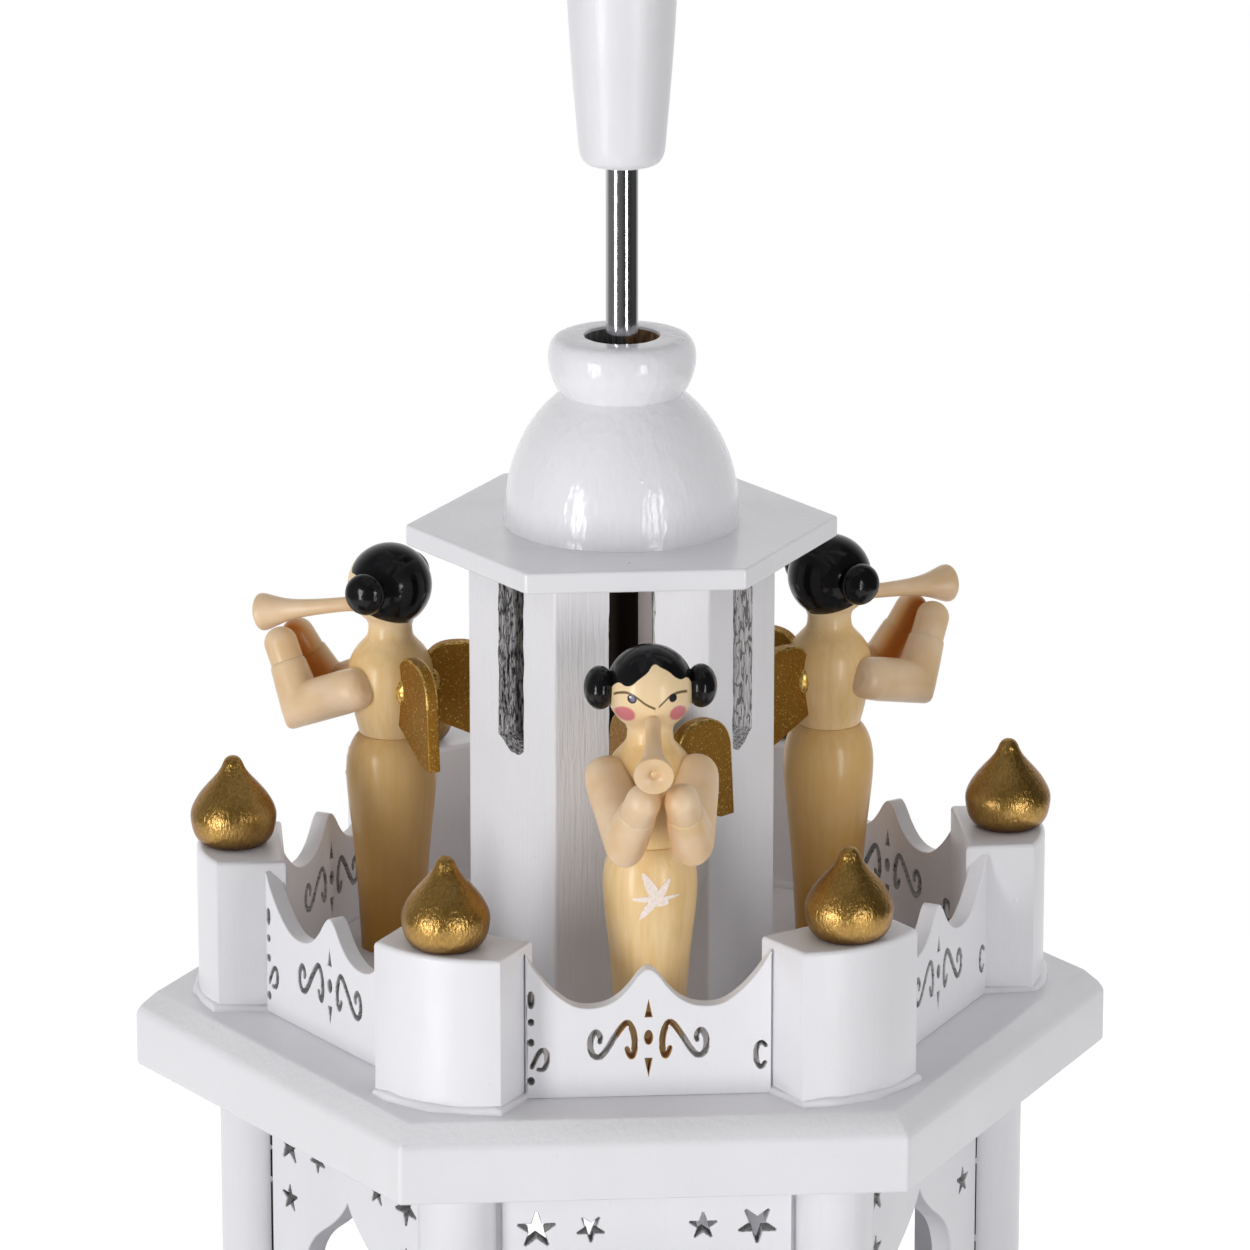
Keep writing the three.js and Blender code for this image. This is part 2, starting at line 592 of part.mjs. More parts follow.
const dowelHole = rod(DOWEL_R + GAP, seatEnd, HUB_HEAD_R + GAP, FACETS.tiny)
  .rotateX(Math.PI / 2).translate(0, 0, bladeZ);
const dowelHoles = Array.from({ length: SIDES }, (_, k) => dowelHole.clone().rotateZ(cornerAngle(k)));
add('hub', cut(hubBody, [hubBore, ...dowelHoles]), white);

// Knob: turned ball that closes the top of the hub
add('hub_knob', lathe([
  [0, hubTop], [KNOB_R * 0.55, hubTop], [KNOB_R * 0.62, hubTop + KNOB_R * 0.25],
  [KNOB_R * 0.92, hubTop + KNOB_R * 0.7], [KNOB_R, hubTop + KNOB_R * 1.1],
  [KNOB_R * 0.88, hubTop + KNOB_R * 1.55], [KNOB_R * 0.5, hubTop + KNOB_R * 1.9], [0, hubTop + KNOB_R * 2],
], FACETS.small), gold);

// Blades: thin boards on dowels, set at a pitch in the hub's holes
const bladeSolid = () => {
  const shape = new THREE.Shape();
  const rootHalf = BLADE_ROOT_W / 2;
  const tipHalf = BLADE_TIP_W / 2;
  const round = BLADE_TIP_W / 5;
  shape.moveTo(-rootHalf, -BLADE_START);
  shape.lineTo(-tipHalf, -(BLADE_TIP - round));
  shape.quadraticCurveTo(-tipHalf, -BLADE_TIP, -tipHalf + round, -BLADE_TIP);
  shape.lineTo(tipHalf - round, -BLADE_TIP);
  shape.quadraticCurveTo(tipHalf, -BLADE_TIP, tipHalf, -(BLADE_TIP - round));
  shape.lineTo(rootHalf, -BLADE_START);
  shape.closePath();
  const board = new THREE.ExtrudeGeometry(
    shape, { depth: BLADE_T, bevelEnabled: false, curveSegments: 5 },
  ).translate(0, 0, -BLADE_T / 2).rotateY(rad(BLADE_PITCH));
  const dowel = rod(DOWEL_R, seatEnd + GAP, BLADE_START + DOWEL_GRIP, FACETS.tiny).rotateX(Math.PI / 2);
  return geometryOf(joined([board, dowel])).translate(0, 0, bladeZ);
};
for (let k = 0; k < SIDES; k += 1) {
  add(`blade_${k + 1}`, bladeSolid(), white, turned(cornerAngle(k)));
}

export default group;
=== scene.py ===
import bpy
from math import asin, atan2, cos, pi, radians, sin, sqrt
from mathutils import Matrix, Vector, noise


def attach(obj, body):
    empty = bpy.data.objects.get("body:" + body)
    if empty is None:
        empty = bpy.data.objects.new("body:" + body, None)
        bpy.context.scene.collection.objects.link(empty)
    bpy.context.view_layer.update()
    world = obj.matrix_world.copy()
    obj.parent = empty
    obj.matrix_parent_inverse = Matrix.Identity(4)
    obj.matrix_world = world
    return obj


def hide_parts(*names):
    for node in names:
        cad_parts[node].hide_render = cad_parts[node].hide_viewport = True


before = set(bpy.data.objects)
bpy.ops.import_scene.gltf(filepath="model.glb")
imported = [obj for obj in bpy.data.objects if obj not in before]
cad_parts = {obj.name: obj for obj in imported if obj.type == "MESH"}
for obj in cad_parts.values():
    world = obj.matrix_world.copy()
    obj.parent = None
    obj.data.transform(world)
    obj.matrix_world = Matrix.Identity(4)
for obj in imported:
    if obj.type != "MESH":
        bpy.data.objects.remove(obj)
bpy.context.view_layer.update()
MM = 0.001

# Camera: it stands level with the hub and looks down on the deck, so that the picture holds the
# deck, the angels, the tower and the lower end of the hub.
bpy.ops.object.camera_add(
    location=(-0.0848, -1.150, 0.5325),
    rotation=(radians(90 - 16.42), 0, radians(-4.24)),
)
camera = bpy.context.object
camera.data.sensor_width = 36
camera.data.lens = 224.6
camera.data.clip_end = 50
bpy.context.scene.camera = camera
bpy.context.scene.view_settings.view_transform = "Standard"

# Studio: a small white table, 0.3 mm under the base, in front of a white backdrop. A tall soft lamp
# stands low on each side of the camera, and weaker ones are above, at the sides and behind. The room
# on the camera's side is dim.
LOOK_AT = (0, 0, 0.19)


def node(tree, kind, feed=None, **settings):
    """Adds a shader node, sets its options and feeds its sockets with numbers or other sockets."""
    made = tree.nodes.new("ShaderNode" + kind)
    for name, value in settings.items():
        setattr(made, name, value)
    for socket, value in (feed or {}).items():
        if isinstance(value, bpy.types.NodeSocket):
            tree.links.new(value, made.inputs[socket])
        else:
            made.inputs[socket].default_value = value
    return made.outputs


def ranged(tree, value, low, high, to_low=0.0, to_high=1.0):
    feed = {"Value": value, "From Min": low, "From Max": high, "To Min": to_low, "To Max": to_high}
    return node(tree, "MapRange", feed, clamp=True)[0]


def reckon(tree, how, first, second):
    return node(tree, "Math", {0: first, 1: second}, operation=how)[0]


def seen_directly(tree):
    """1 for what the camera sees itself, in a mirror or through glass, and 0 for light on the object."""
    path = node(tree, "LightPath")
    mirrored = reckon(tree, "MAXIMUM", path["Is Camera Ray"], path["Is Glossy Ray"])
    return reckon(tree, "MAXIMUM", mirrored, path["Is Transmission Ray"])


def softbox(name, place, size, watts, mirrored=True):
    """A flat lamp of size (width, height) that faces the object and may show in what shines."""
    bpy.ops.object.light_add(type="AREA", location=place)
    lamp = bpy.context.object
    lamp.name = name
    lamp.rotation_euler = (Vector(LOOK_AT) - Vector(place)).to_track_quat("-Z", "Y").to_euler()
    lamp.data.shape = "RECTANGLE"
    lamp.data.size, lamp.data.size_y = size
    lamp.data.energy = watts
    lamp.visible_glossy = mirrored


bpy.ops.mesh.primitive_circle_add(vertices=96, radius=0.5, fill_type="NGON", location=(0, 0, -0.0003))
table_top = bpy.context.object
table_top.name = "table_top"
table_paint = bpy.data.materials.new("white_table")
table_paint.use_nodes = True
tree = table_paint.node_tree
matt = node(tree, "BsdfDiffuse", {"Color": (0.8, 0.8, 0.8, 1)})[0]
glow = node(tree, "Emission", {"Color": (1, 1, 1, 1), "Strength": 0.62})[0]
lit = node(tree, "AddShader", {0: matt, 1: glow})[0]
blank = node(tree, "Emission", {"Color": (1, 1, 1, 1), "Strength": 1.0})[0]
from_middle = node(tree, "VectorMath", {0: node(tree, "TexCoord")["Object"]}, operation="LENGTH")["Value"]
towards_rim = ranged(tree, from_middle, 0.26, 0.46)
faded = node(tree, "MixShader", {0: towards_rim, 1: lit, 2: blank})[0]
shown = node(tree, "MixShader", {0: seen_directly(tree), 1: matt, 2: faded})[0]
tree.links.new(shown, tree.nodes["Material Output"].inputs["Surface"])
table_top.data.materials.append(table_paint)

world = bpy.data.worlds.new("studio")
bpy.context.scene.world = world
world.use_nodes = True
tree = world.node_tree
towards = node(tree, "SeparateXYZ", {0: node(tree, "TexCoord")["Generated"]})
room = ranged(tree, towards["X"], -0.9, 0.3, 0.24, 0.06)
behind = ranged(tree, towards["Y"], 0.3, 0.9, room)
mirrored = ranged(tree, node(tree, "LightPath")["Is Camera Ray"], 0, 1, behind)
strength = ranged(tree, seen_directly(tree), 0, 1, 0.22, mirrored)
tree.links.new(strength, tree.nodes["Background"].inputs["Strength"])
tree.nodes["Background"].inputs["Color"].default_value = (1, 1, 1, 1)

softbox("lamp_left", (-1.06, -0.92, 0.13), (0.26, 0.92), 11.4)
softbox("lamp_right", (0.67, -1.23, 0.13), (0.26, 0.92), 7.6)
softbox("lamp_above", (0, -0.2, 1.6), (1.5, 1.5), 1.5)
softbox("lamp_side_left", (-1.25, 0.25, 0.8), (1.0, 1.0), 4.4, False)
softbox("lamp_side_right", (1.25, 0.25, 0.8), (1.0, 1.0), 3.8, False)
softbox("lamp_behind", (0.2, 1.4, 0.45), (1.4, 0.7), 8, False)

# Base board: a thick six-sided board, painted white, with a bevelled top edge. A well for a
# tealight is bored near each corner, and a small pocket in the middle takes the bearing cup.


def settle(piece, body, slot, *nodes):
    """Hands a finished piece to the frame."""
    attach(piece, body)
    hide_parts(*nodes)


def only(piece):
    """Makes a piece the only one selected."""
    bpy.ops.object.select_all(action="DESELECT")
    piece.select_set(True)
    bpy.context.view_layer.objects.active = piece


def applied(piece, kind, **settings):
    """Adds a modifier to a piece, sets its options and applies it."""
    only(piece)
    added = piece.modifiers.new(kind.lower(), kind)
    for name, value in settings.items():
        setattr(added, name, value)
    bpy.ops.object.modifier_apply(modifier=added.name)


def smooth(piece, degrees=35, board=False):
    """Shades a piece smooth up to an angle. A board's broad faces stay flat up to their rounded edges."""
    only(piece)
    bpy.ops.object.shade_smooth_by_angle(angle=radians(degrees))
    if board:
        applied(piece, "WEIGHTED_NORMAL", keep_sharp=True)


def edit_all():
    bpy.ops.object.mode_set(mode="EDIT")
    bpy.ops.mesh.select_all(action="SELECT")


def welded():
    """Merges doubled points of the mesh in edit mode, turns its faces outwards and leaves edit mode."""
    bpy.ops.mesh.select_all(action="SELECT")
    bpy.ops.mesh.remove_doubles(threshold=2e-6)
    bpy.ops.mesh.normals_make_consistent(inside=False)
    bpy.ops.object.mode_set(mode="OBJECT")


def coat(piece, *materials):
    for material in materials:
        piece.data.materials.append(material)


def spun(name, profile, sides, *materials):
    """Draws a profile of points (radius, height) in mm, vertex by vertex, and spins it about the axis."""
    bpy.ops.mesh.primitive_plane_add(size=MM)
    piece = bpy.context.object
    piece.name = name
    edit_all()
    bpy.ops.mesh.merge(type="CENTER")
    bpy.ops.transform.translate(value=(profile[0][0] * MM, 0, profile[0][1] * MM))
    for (r0, z0), (r1, z1) in zip(profile, profile[1:]):
        step = ((r1 - r0) * MM, 0, (z1 - z0) * MM)
        bpy.ops.mesh.extrude_vertices_move(TRANSFORM_OT_translate={"value": step})
    bpy.ops.mesh.select_all(action="SELECT")
    bpy.ops.mesh.spin(steps=sides, angle=2 * pi, center=(0, 0, 0), axis=(0, 0, 1))
    welded()
    coat(piece, *materials)
    return piece


def plain(radius, low, high):
    """Profile of a plain rod or hole."""
    return [(0, low), (radius, low), (radius, high), (0, high)]


def soften(piece, width, degrees=30):
    """Rounds the sharp edges, as thick paint does."""
    sharp = radians(degrees)
    applied(piece, "BEVEL", width=width * MM, segments=3, limit_method="ANGLE", angle_limit=sharp)


def carve(piece, tool):
    """Cuts a tool out of a piece. The cut faces take the tool's material."""
    applied(piece, "BOOLEAN", operation="DIFFERENCE", solver="EXACT", object=tool, material_mode="TRANSFER")
    bpy.data.objects.remove(tool)


def joined(pieces):
    only(pieces[0])
    for piece in pieces[1:]:
        piece.select_set(True)
    bpy.ops.object.join()
    return pieces[0]


def turn(piece, degrees, axis="Z"):
    piece.data.transform(Matrix.Rotation(radians(degrees), 4, axis))


def shift(piece, x=0, y=0, z=0):
    piece.data.transform(Matrix.Translation((x * MM, y * MM, z * MM)))


def finish(name, **constants):
    """A new material with its shader's plain values set."""
    material = bpy.data.materials.new(name)
    material.use_nodes = True
    shader = material.node_tree.nodes["Principled BSDF"]
    for socket, value in constants.items():
        shader.inputs[socket.replace("_", " ")].default_value = value
    return material, material.node_tree, shader


def mixed(tree, share, first, second):
    return node(tree, "Mix", {0: share, 6: first, 7: second}, data_type="RGBA")[2]


def place_in(tree):
    return node(tree, "TexCoord")["Object"]


def axes_in(tree):
    return node(tree, "SeparateXYZ", {0: place_in(tree)})


def cells(tree, scale):
    return node(tree, "TexVoronoi", {"Vector": place_in(tree), "Scale": scale}, feature="F1")


def speckle(tree, size, detail=3.0, roughness=0.55):
    """Noise whose grains are size mm wide along x, y and z."""
    scaled = node(tree, "Mapping", {"Vector": place_in(tree), "Scale": [1 / (s * MM) for s in size]})[0]
    feed = {"Vector": scaled, "Scale": 1.0, "Detail": detail, "Roughness": roughness}
    return node(tree, "TexNoise", feed)[0]


def dress(tree, shader, colour=None, roughness=None, *layers):
    """Feeds a colour, a roughness and bump layers of (height, mm) to the shader, where they are given."""
    for socket, value in (("Base Color", colour), ("Roughness", roughness)):
        if value is not None:
            tree.links.new(value, shader.inputs[socket])
    normal = None
    for height, depth in layers:
        feed = {"Height": height, "Strength": 1.0, "Distance": depth * MM}
        if normal is not None:
            feed["Normal"] = normal
        normal = node(tree, "Bump", feed)[0]
    if normal is not None:
        tree.links.new(normal, shader.inputs["Normal"])
    return normal


WHITE = (0.80, 0.795, 0.825, 1)
WHITE_THIN = (0.72, 0.712, 0.735, 1)


def white_paint(name, grain, ridge=0.03, gloss=0.35, satin=0.32, orange_peel=0.04, fine=4.0):
    """White paint brushed over wood, whose grain still shows. grain is its size in mm along x, y and z,
    ridge its height, satin how dull the paint is, orange_peel how lumpy and fine how sharp its grain."""
    material, tree, shader = finish(name, Specular_IOR_Level=gloss)
    fibre = speckle(tree, grain, fine, 0.6)
    cloud = speckle(tree, (17, 17, 23), 2.0)
    peel = speckle(tree, (1.0, 1.0, 1.5), 2.0)
    speck = ranged(tree, cells(tree, 85.0)["Distance"], 0.018, 0.026, 0.55, 0)
    nib = ranged(tree, cells(tree, 170.0)["Distance"], 0.02, 0.07, 1, 0)
    tone = mixed(tree, ranged(tree, cloud, 0.4, 0.75, 0, 0.35), WHITE, WHITE_THIN)
    tone = mixed(tree, ranged(tree, fibre, 0.60, 0.78, 0, 0.3), tone, WHITE_THIN)
    tone = mixed(tree, speck, tone, (0.22, 0.20, 0.19, 1))
    dull = ranged(tree, cloud, 0.3, 0.7, satin - 0.03, satin + 0.05)
    dress(tree, shader, tone, dull, (fibre, ridge), (cloud, 0.25), (nib, 0.06), (peel, orange_peel))
    return material


board_paint = white_paint("white_board_paint", (14, 0.7, 0.9), 0.03, 0.45, 0.32, 0.05)
upright_paint = white_paint("white_upright_paint", (0.8, 0.8, 16))

BASE_TOP, DECK_LOW, DECK_TOP = 18, 123, 135
FIRST_CORNER, WELL_CIRCLE = 30, 111.98
base = spun("painted_base", [
    (0, 0), (141.3, 0), (142, 0.7), (142, 15), (139, BASE_TOP), (0, BASE_TOP),
], 6, board_paint)
soften(base, 0.8)
cutters = [spun("pocket_tool", plain(7.3, 12, 20), 48, board_paint)]
for corner in range(6):
    well = spun("well_tool", [
        (0, 8), (19.9, 8), (20.4, 8.2), (20.5, 8.8), (20.5, 17.2), (20.75, 17.8), (21.3, 18.15), (21.3, 20),
        (0, 20),
    ], 64, board_paint)
    shift(well, y=-WELL_CIRCLE)
    turn(well, FIRST_CORNER + 60 * corner)
    cutters.append(well)
carve(base, joined(cutters))
smooth(base, 30, board=True)
settle(base, "stand", "white_paint", "base_board")

# Bearing cup: a small brass cup let into the base. The point of the shaft turns in its cone.
brass, tree, shader = finish("turned_brass", Metallic=1.0)
turning = speckle(tree, (3, 3, 0.25), 2.0)
tone = mixed(tree, ranged(tree, turning, 0.3, 0.7), (0.62, 0.40, 0.12, 1), (0.75, 0.55, 0.22, 1))
dress(tree, shader, tone, ranged(tree, turning, 0.3, 0.7, 0.2, 0.36))
cup = spun("brass_cup", [
    (0, 12), (6.7, 12), (7, 12.3), (7, 17.6), (6.7, 18), (3.9, 18), (3.5, 17.8), (3.2, 17.3), (0, 14.6),
], 48, brass)
smooth(cup)
settle(cup, "stand", "brass", "bearing_cup")

# Columns: plain turned rods of painted wood between the base and the deck, glued at both ends
# and ringed there with a bead of paint.


def copied(piece, name):
    twin = piece.copy()
    twin.data = piece.data.copy()
    twin.name = name
    bpy.context.collection.objects.link(twin)
    return twin


def ring_of(piece, name, start, slot, node_name):
    """Settles six copies of a piece round the axis, the first at start degrees, and removes the piece."""
    ring = []
    for k in range(6):
        twin = copied(piece, f"{name}_{k + 1}")
        turn(twin, start + 60 * k)
        settle(twin, "stand", slot, f"{node_name}_{k + 1}")
        ring.append(twin)
    bpy.data.objects.remove(piece)
    return ring


COLUMN_CIRCLE = 57
column = spun("column", [
    (0, BASE_TOP), (6.35, BASE_TOP), (6.4, 18.25), (6.2, 18.7), (6, 19.2), (6, 70), (6, 121.9),
    (6.2, 122.4), (6.35, 122.8), (6.3, DECK_LOW), (0, DECK_LOW),
], 40, upright_paint)
smooth(column)
shift(column, y=-COLUMN_CIRCLE)
ring_of(column, "painted_column", FIRST_CORNER, "white_paint", "column")

# Arch panels: sawn from thin board, one between each two columns. Each has a pointed ogee arch,
# a row of five-pointed stars sawn through above it and one star beside it on each side. On two of
# them thin dark strips stand in the gaps at their ends: painted shade in the joints.


def sawn(name, outlines, thickness, edge):
    """A flat board with rounded edges from outlines of points (x, z) in mm, of which all but the first are
    cut out. It stands upright with its middle on y = 0 and its front towards -y."""
    drawing = bpy.data.curves.new(name, "CURVE")
    drawing.dimensions, drawing.fill_mode = "2D", "BOTH"
    for outline in outlines:
        line = drawing.splines.new("POLY")
        line.points.add(len(outline) - 1)
        for point, (x, z) in zip(line.points, outline):
            point.co = (x * MM, z * MM, 0, 1)
        line.use_cyclic_u = True
    drawing.extrude = (thickness / 2 - edge) * MM
    drawing.bevel_depth, drawing.offset, drawing.bevel_resolution = edge * MM, -edge * MM, 2
    piece = bpy.data.objects.new(name, drawing)
    bpy.context.collection.objects.link(piece)
    only(piece)
    bpy.ops.object.convert(target="MESH")
    piece = bpy.context.object
    piece.name = name
    bpy.ops.object.mode_set(mode="EDIT")
    welded()
    turn(piece, 90, "X")
    return piece


def bezier(points, steps):
    """Points on a cubic curve from four control points, without the last."""
    a, b, c, d = (Vector(p) for p in points)
    line = []
    for i in range(steps):
        t = i / steps
        u = 1 - t
        line.append(tuple(u ** 3 * a + 3 * u ** 2 * t * b + 3 * u * t ** 2 * c + t ** 3 * d))
    return line


def star(x, z, reach, up):
    """A five-pointed star with its points slightly blunted."""
    line = []
    for i in range(10):
        r = reach * (1 if i % 2 == 0 else 0.42)
        middle = pi * (i / 5 + (0.5 if up else -0.5))
        for part in ((-0.05, 0.05) if i % 2 == 0 else (0,)):
            line.append((x + r * cos(middle + part), z + r * sin(middle + part)))
    return line


ARCH_HALF, ARCH_SPRING, ARCH_TIP, ARCH_MIDDLE = 13, 90.5, 108.5, 49.36
ogee = [(-ARCH_HALF, BASE_TOP), (-ARCH_HALF, 54)]
ogee += bezier([(-ARCH_HALF, ARCH_SPRING), (-ARCH_HALF, 97.7), (-9.6, 100.2), (-6.4, 102.3)], 14)
ogee += bezier([(-6.4, 102.3), (-3.2, 104.4), (-1, 106.5), (0, ARCH_TIP)], 14)
outer = [(21.9, BASE_TOP), (21.9, DECK_LOW), (-21.9, DECK_LOW), (-21.9, BASE_TOP)]
right_side = [(-x, z) for x, z in reversed(ogee)]
panel_line = outer + ogee + [(0, ARCH_TIP)] + right_side
stars = [
    star(-16.7, 113, 2.95, True), star(-8.5, 113, 2.15, False),
    star(8.5, 113, 2.15, True), star(16.7, 113, 2.95, False),
    star(-16.7, 104.2, 2.15, True), star(16.7, 104.2, 2.15, True),
]
panel = sawn("arch_panel", [panel_line] + stars, 3.5, 0.25)
SOOT_AND_SHADE = (0.03, 0.026, 0.024, 1)
burnt = []
for name, colour in (("singed_grey", (0.50, 0.495, 0.50, 1)), ("singed_brown", (0.45, 0.235, 0.08, 1))):
    singed, tree, shader = finish(name, Roughness=0.6)
    crust = speckle(tree, (0.7, 0.7, 0.7))
    tone = mixed(tree, ranged(tree, crust, 0.5, 0.68, 0, 0.7), colour, SOOT_AND_SHADE)
    dress(tree, shader, tone, None, (crust, 0.1))
    burnt.append(singed)


def line_holes(piece, holes, brown_half):
    """Gives the sides of the holes the burnt wood, brown near the middle and grey elsewhere."""
    coat(piece, upright_paint, *burnt)
    reach = []
    for hole in holes:
        across, up = zip(*hole)
        reach.append((min(across), max(across), min(up), max(up)))
    for face in piece.data.polygons:
        x, y, z = face.center / MM
        in_hole = any(a - 0.05 <= x <= b + 0.05 and c - 0.05 <= z <= d + 0.05 for a, b, c, d in reach)
        if in_hole and abs(face.normal.y) < 0.8:
            face.material_index = 2 if abs(x) < brown_half else 1


def block(width, depth, height):
    """A box of a size in mm about the origin."""
    bpy.ops.mesh.primitive_cube_add(size=MM)
    piece = bpy.context.object
    piece.data.transform(Matrix.Diagonal((width, depth, height, 1)))
    return piece


line_holes(panel, stars, 0)
smooth(panel, 40, board=True)
shift(panel, y=-ARCH_MIDDLE)
GAP_SHADE = (0.02, 0.018, 0.017, 1)
gap_shade_paint = finish("painted_gap_shade", Base_Color=GAP_SHADE, Roughness=0.9, Specular_IOR_Level=0.1)[0]
for side in range(6):
    piece = copied(panel, f"sawn_arch_{side + 1}")
    # Thin dark strips in the gaps beside the columns on two panels are painted shade.
    if side in (1, 5):
        gap_shade_strips = []
        for x in (-22.23, 22.23):
            for low, high in ((30, 71), (72, 92), (93.2, 105), (106, 110.4), (111.2, 116), (117, 122.6)):
                line = block(0.7, 0.5, high - low)
                shift(line, x, -50.7, (low + high) / 2)
                coat(line, gap_shade_paint)
                gap_shade_strips.append(line)
        piece = joined([piece, *gap_shade_strips])
    turn(piece, 60 * side)
    settle(piece, "stand", "white_paint", f"arch_panel_{side + 1}")
bpy.data.objects.remove(panel)

# Deck board: a thick six-sided board. Its top edge is planed to a slope, and the paint
# lies thick on its corners.
SHAFT_HOLE = 6
deck = spun("painted_deck", [
    (0, DECK_LOW), (75.5, DECK_LOW), (76, 123.5), (76, 131.2), (75.85, 131.8), (75.45, 132.35),
    (72.7, 134.74), (72.3, 134.94), (71.8, DECK_TOP), (0, DECK_TOP),
], 6, board_paint)
soften(deck, 0.6, 50)
carve(deck, spun("hole_tool", plain(SHAFT_HOLE, 120, 140), 48, board_paint))
coat(deck, white_paint("white_slope_paint", (0.9, 0.9, 0.9), 0.1, 0.45, 0.32, 0.1))
for face in deck.data.polygons:
    if 0.5 < face.normal.z < 0.9 and face.center.z > 131 * MM:
        face.material_index = 1
smooth(deck, 40, board=True)
settle(deck, "stand", "white_paint", "deck_board")

# Corner posts: blocks with flat sides and a round outer face, glued to the deck. A bead of paint
# runs round the foot of each.
POST_H = 24


def post_line(margin):
    """Outline of a post at the front, in x and y, wider by margin."""
    arc = []
    for i in range(25):
        a = radians(-30 + 60 * i / 24)
        arc.append(((21 + margin) * sin(a), -45 - (21 + margin) * cos(a)))
    half, back = 10.5 + margin, -52.6 + margin
    return [(-half, back), *((max(-half, min(half, x)), y) for x, y in arc), (half, back)]


def slab(name, line, low, thickness, edge):
    """A lying board from an outline in x and y."""
    piece = sawn(name, [line], thickness, edge)
    turn(piece, -90, "X")
    shift(piece, z=low + thickness / 2)
    return piece


def rumple(piece, size, depth):
    """Moves each point of a mesh along its normal by smooth noise of size mm, up to depth mm."""
    moved = [(v.co / MM, v.normal.copy()) for v in piece.data.vertices]
    for v, (at, out) in zip(piece.data.vertices, moved):
        lump = noise.noise(Vector((at.x / size[0], at.y / size[1], at.z / size[2])))
        v.co = (at + out * lump * depth) * MM


def split_at(piece, place, normal):
    """Keeps the part of a piece behind a plane, and closes the cut."""
    only(piece)
    edit_all()
    bpy.ops.mesh.bisect(plane_co=Vector(place) * MM, plane_no=normal, use_fill=True, clear_outer=True)
    bpy.ops.object.mode_set(mode="OBJECT")


post = slab("post", post_line(0), DECK_TOP, POST_H, 0.75)
bead = slab("bead", post_line(0.9), DECK_TOP - 1.1, 2.2, 0.9)
rumple(bead, (4, 4, 4), 0.6)
split_at(bead, (0, 0, DECK_TOP), (0, 0, -1))
post = joined([post, bead])
coat(post, upright_paint)
smooth(post, 40, board=True)
ring_of(post, "painted_post", FIRST_CORNER, "white_paint", "post")

# Onion finials: turned wood with a drawn-out tip, brushed with gold paint and glued on the posts.
# The brush has left fine upright ridges.


def through(points, steps):
    """A smooth line through points, with steps to each span."""
    ends = [points[0], *points, points[-1]]
    line = []
    for p0, p1, p2, p3 in zip(ends, ends[1:], ends[2:], ends[3:]):
        p0, p1, p2, p3 = Vector(p0), Vector(p1), Vector(p2), Vector(p3)
        for i in range(steps):
            t = i / steps
            at = p1 * 2 + (p2 - p0) * t + (p0 * 2 - p1 * 5 + p2 * 4 - p3) * t ** 2
            at += (p1 * 3 - p0 - p2 * 3 + p3) * t ** 3
            line.append(tuple(at / 2))
    return line + [tuple(points[-1])]


WARM = (0.5, 0.32, 0.12, 1)
gold, tree, shader = finish(
    "brushed_gold_paint", Metallic=0.95, Coat_Weight=0.7, Coat_Roughness=0.15, Specular_Tint=WARM,
)
brush = speckle(tree, (0.42, 0.42, 0.95), 2.0, 0.5)
fleck = speckle(tree, (0.3, 0.3, 0.3), 2.0, 0.6)
tone = mixed(tree, ranged(tree, brush, 0.3, 0.7), (0.345, 0.19, 0.036, 1), (0.46, 0.272, 0.064, 1))
# The lowest 2 mm darken: partly paint pooled at the foot, partly painted shade that dulls the reflection of
# the post top.
pooled_paint_and_shade = ranged(tree, axes_in(tree)["Z"], 0.1592, 0.1614, 0.85, 0)
tone = mixed(tree, pooled_paint_and_shade, tone, (0.11, 0.05, 0.01, 1))
normal = dress(tree, shader, tone, ranged(tree, fleck, 0.3, 0.7, 0.31, 0.35), (brush, 0.14), (fleck, 0.05))
tree.links.new(normal, shader.inputs["Coat Normal"])

ONION_R, ONION_H, ONION_CIRCLE = 6.65, 14, 60.25
onion_line = through([
    (0.68, 0), (0.82, 0.045), (0.94, 0.14), (1, 0.3), (0.965, 0.41), (0.82, 0.54), (0.65, 0.645),
    (0.48, 0.735), (0.35, 0.81), (0.27, 0.875), (0.225, 0.925), (0.175, 0.965), (0.095, 0.992), (0, 1),
], 4)
onion = spun("onion", [(0, 0)] + [(max(r, 0) * ONION_R, z * ONION_H) for r, z in onion_line], 48, gold)
smooth(onion, 50)
shift(onion, y=-ONION_CIRCLE, z=DECK_TOP + POST_H)
ring_of(onion, "gilded_onion", FIRST_CORNER, "gold_paint", "onion_finial")

# Railing panels: thin ply between the posts, with a scalloped top. A scroll ornament is burnt
# through each. Its edges are singed grey, and brown at the middle of the front panel.
RAIL_HALF, RAIL_T, RAIL_MIDDLE = 18.4, 2.7, 52.47


def stroke(line, width):
    """Outline of a pen stroke with round, thinner ends along a smooth line."""
    path = [Vector(p) for p in through(line, 5)]
    left, right = [], []
    for i, at in enumerate(path):
        ahead = (path[min(i + 1, len(path) - 1)] - path[max(i - 1, 0)]).normalized()
        from_end = min(i, len(path) - 1 - i)
        half = width / 2 * min(1, 0.75 + 0.25 * from_end / 12)
        across = Vector((-ahead.y, ahead.x)) * half
        for edge, point in ((left, at + across), (right, at - across)):
            if min((point - other).length for other in path) > 0.98 * half:
                edge.append(point)

    def cap(at, start):
        lean = atan2(start.y, start.x)
        angles = [lean - part * pi for part in (0.25, 0.5, 0.75)]
        return [at + Vector((cos(a), sin(a))) * start.length for a in angles]

    end = cap(path[-1], left[-1] - path[-1])
    begin = cap(path[0], right[0] - path[0])
    return [tuple(p) for p in left + end + right[::-1] + begin]


def oval(x, z, half_w, half_h):
    return [(x + half_w * cos(k * pi / 8), z + half_h * sin(k * pi / 8)) for k in range(16)]


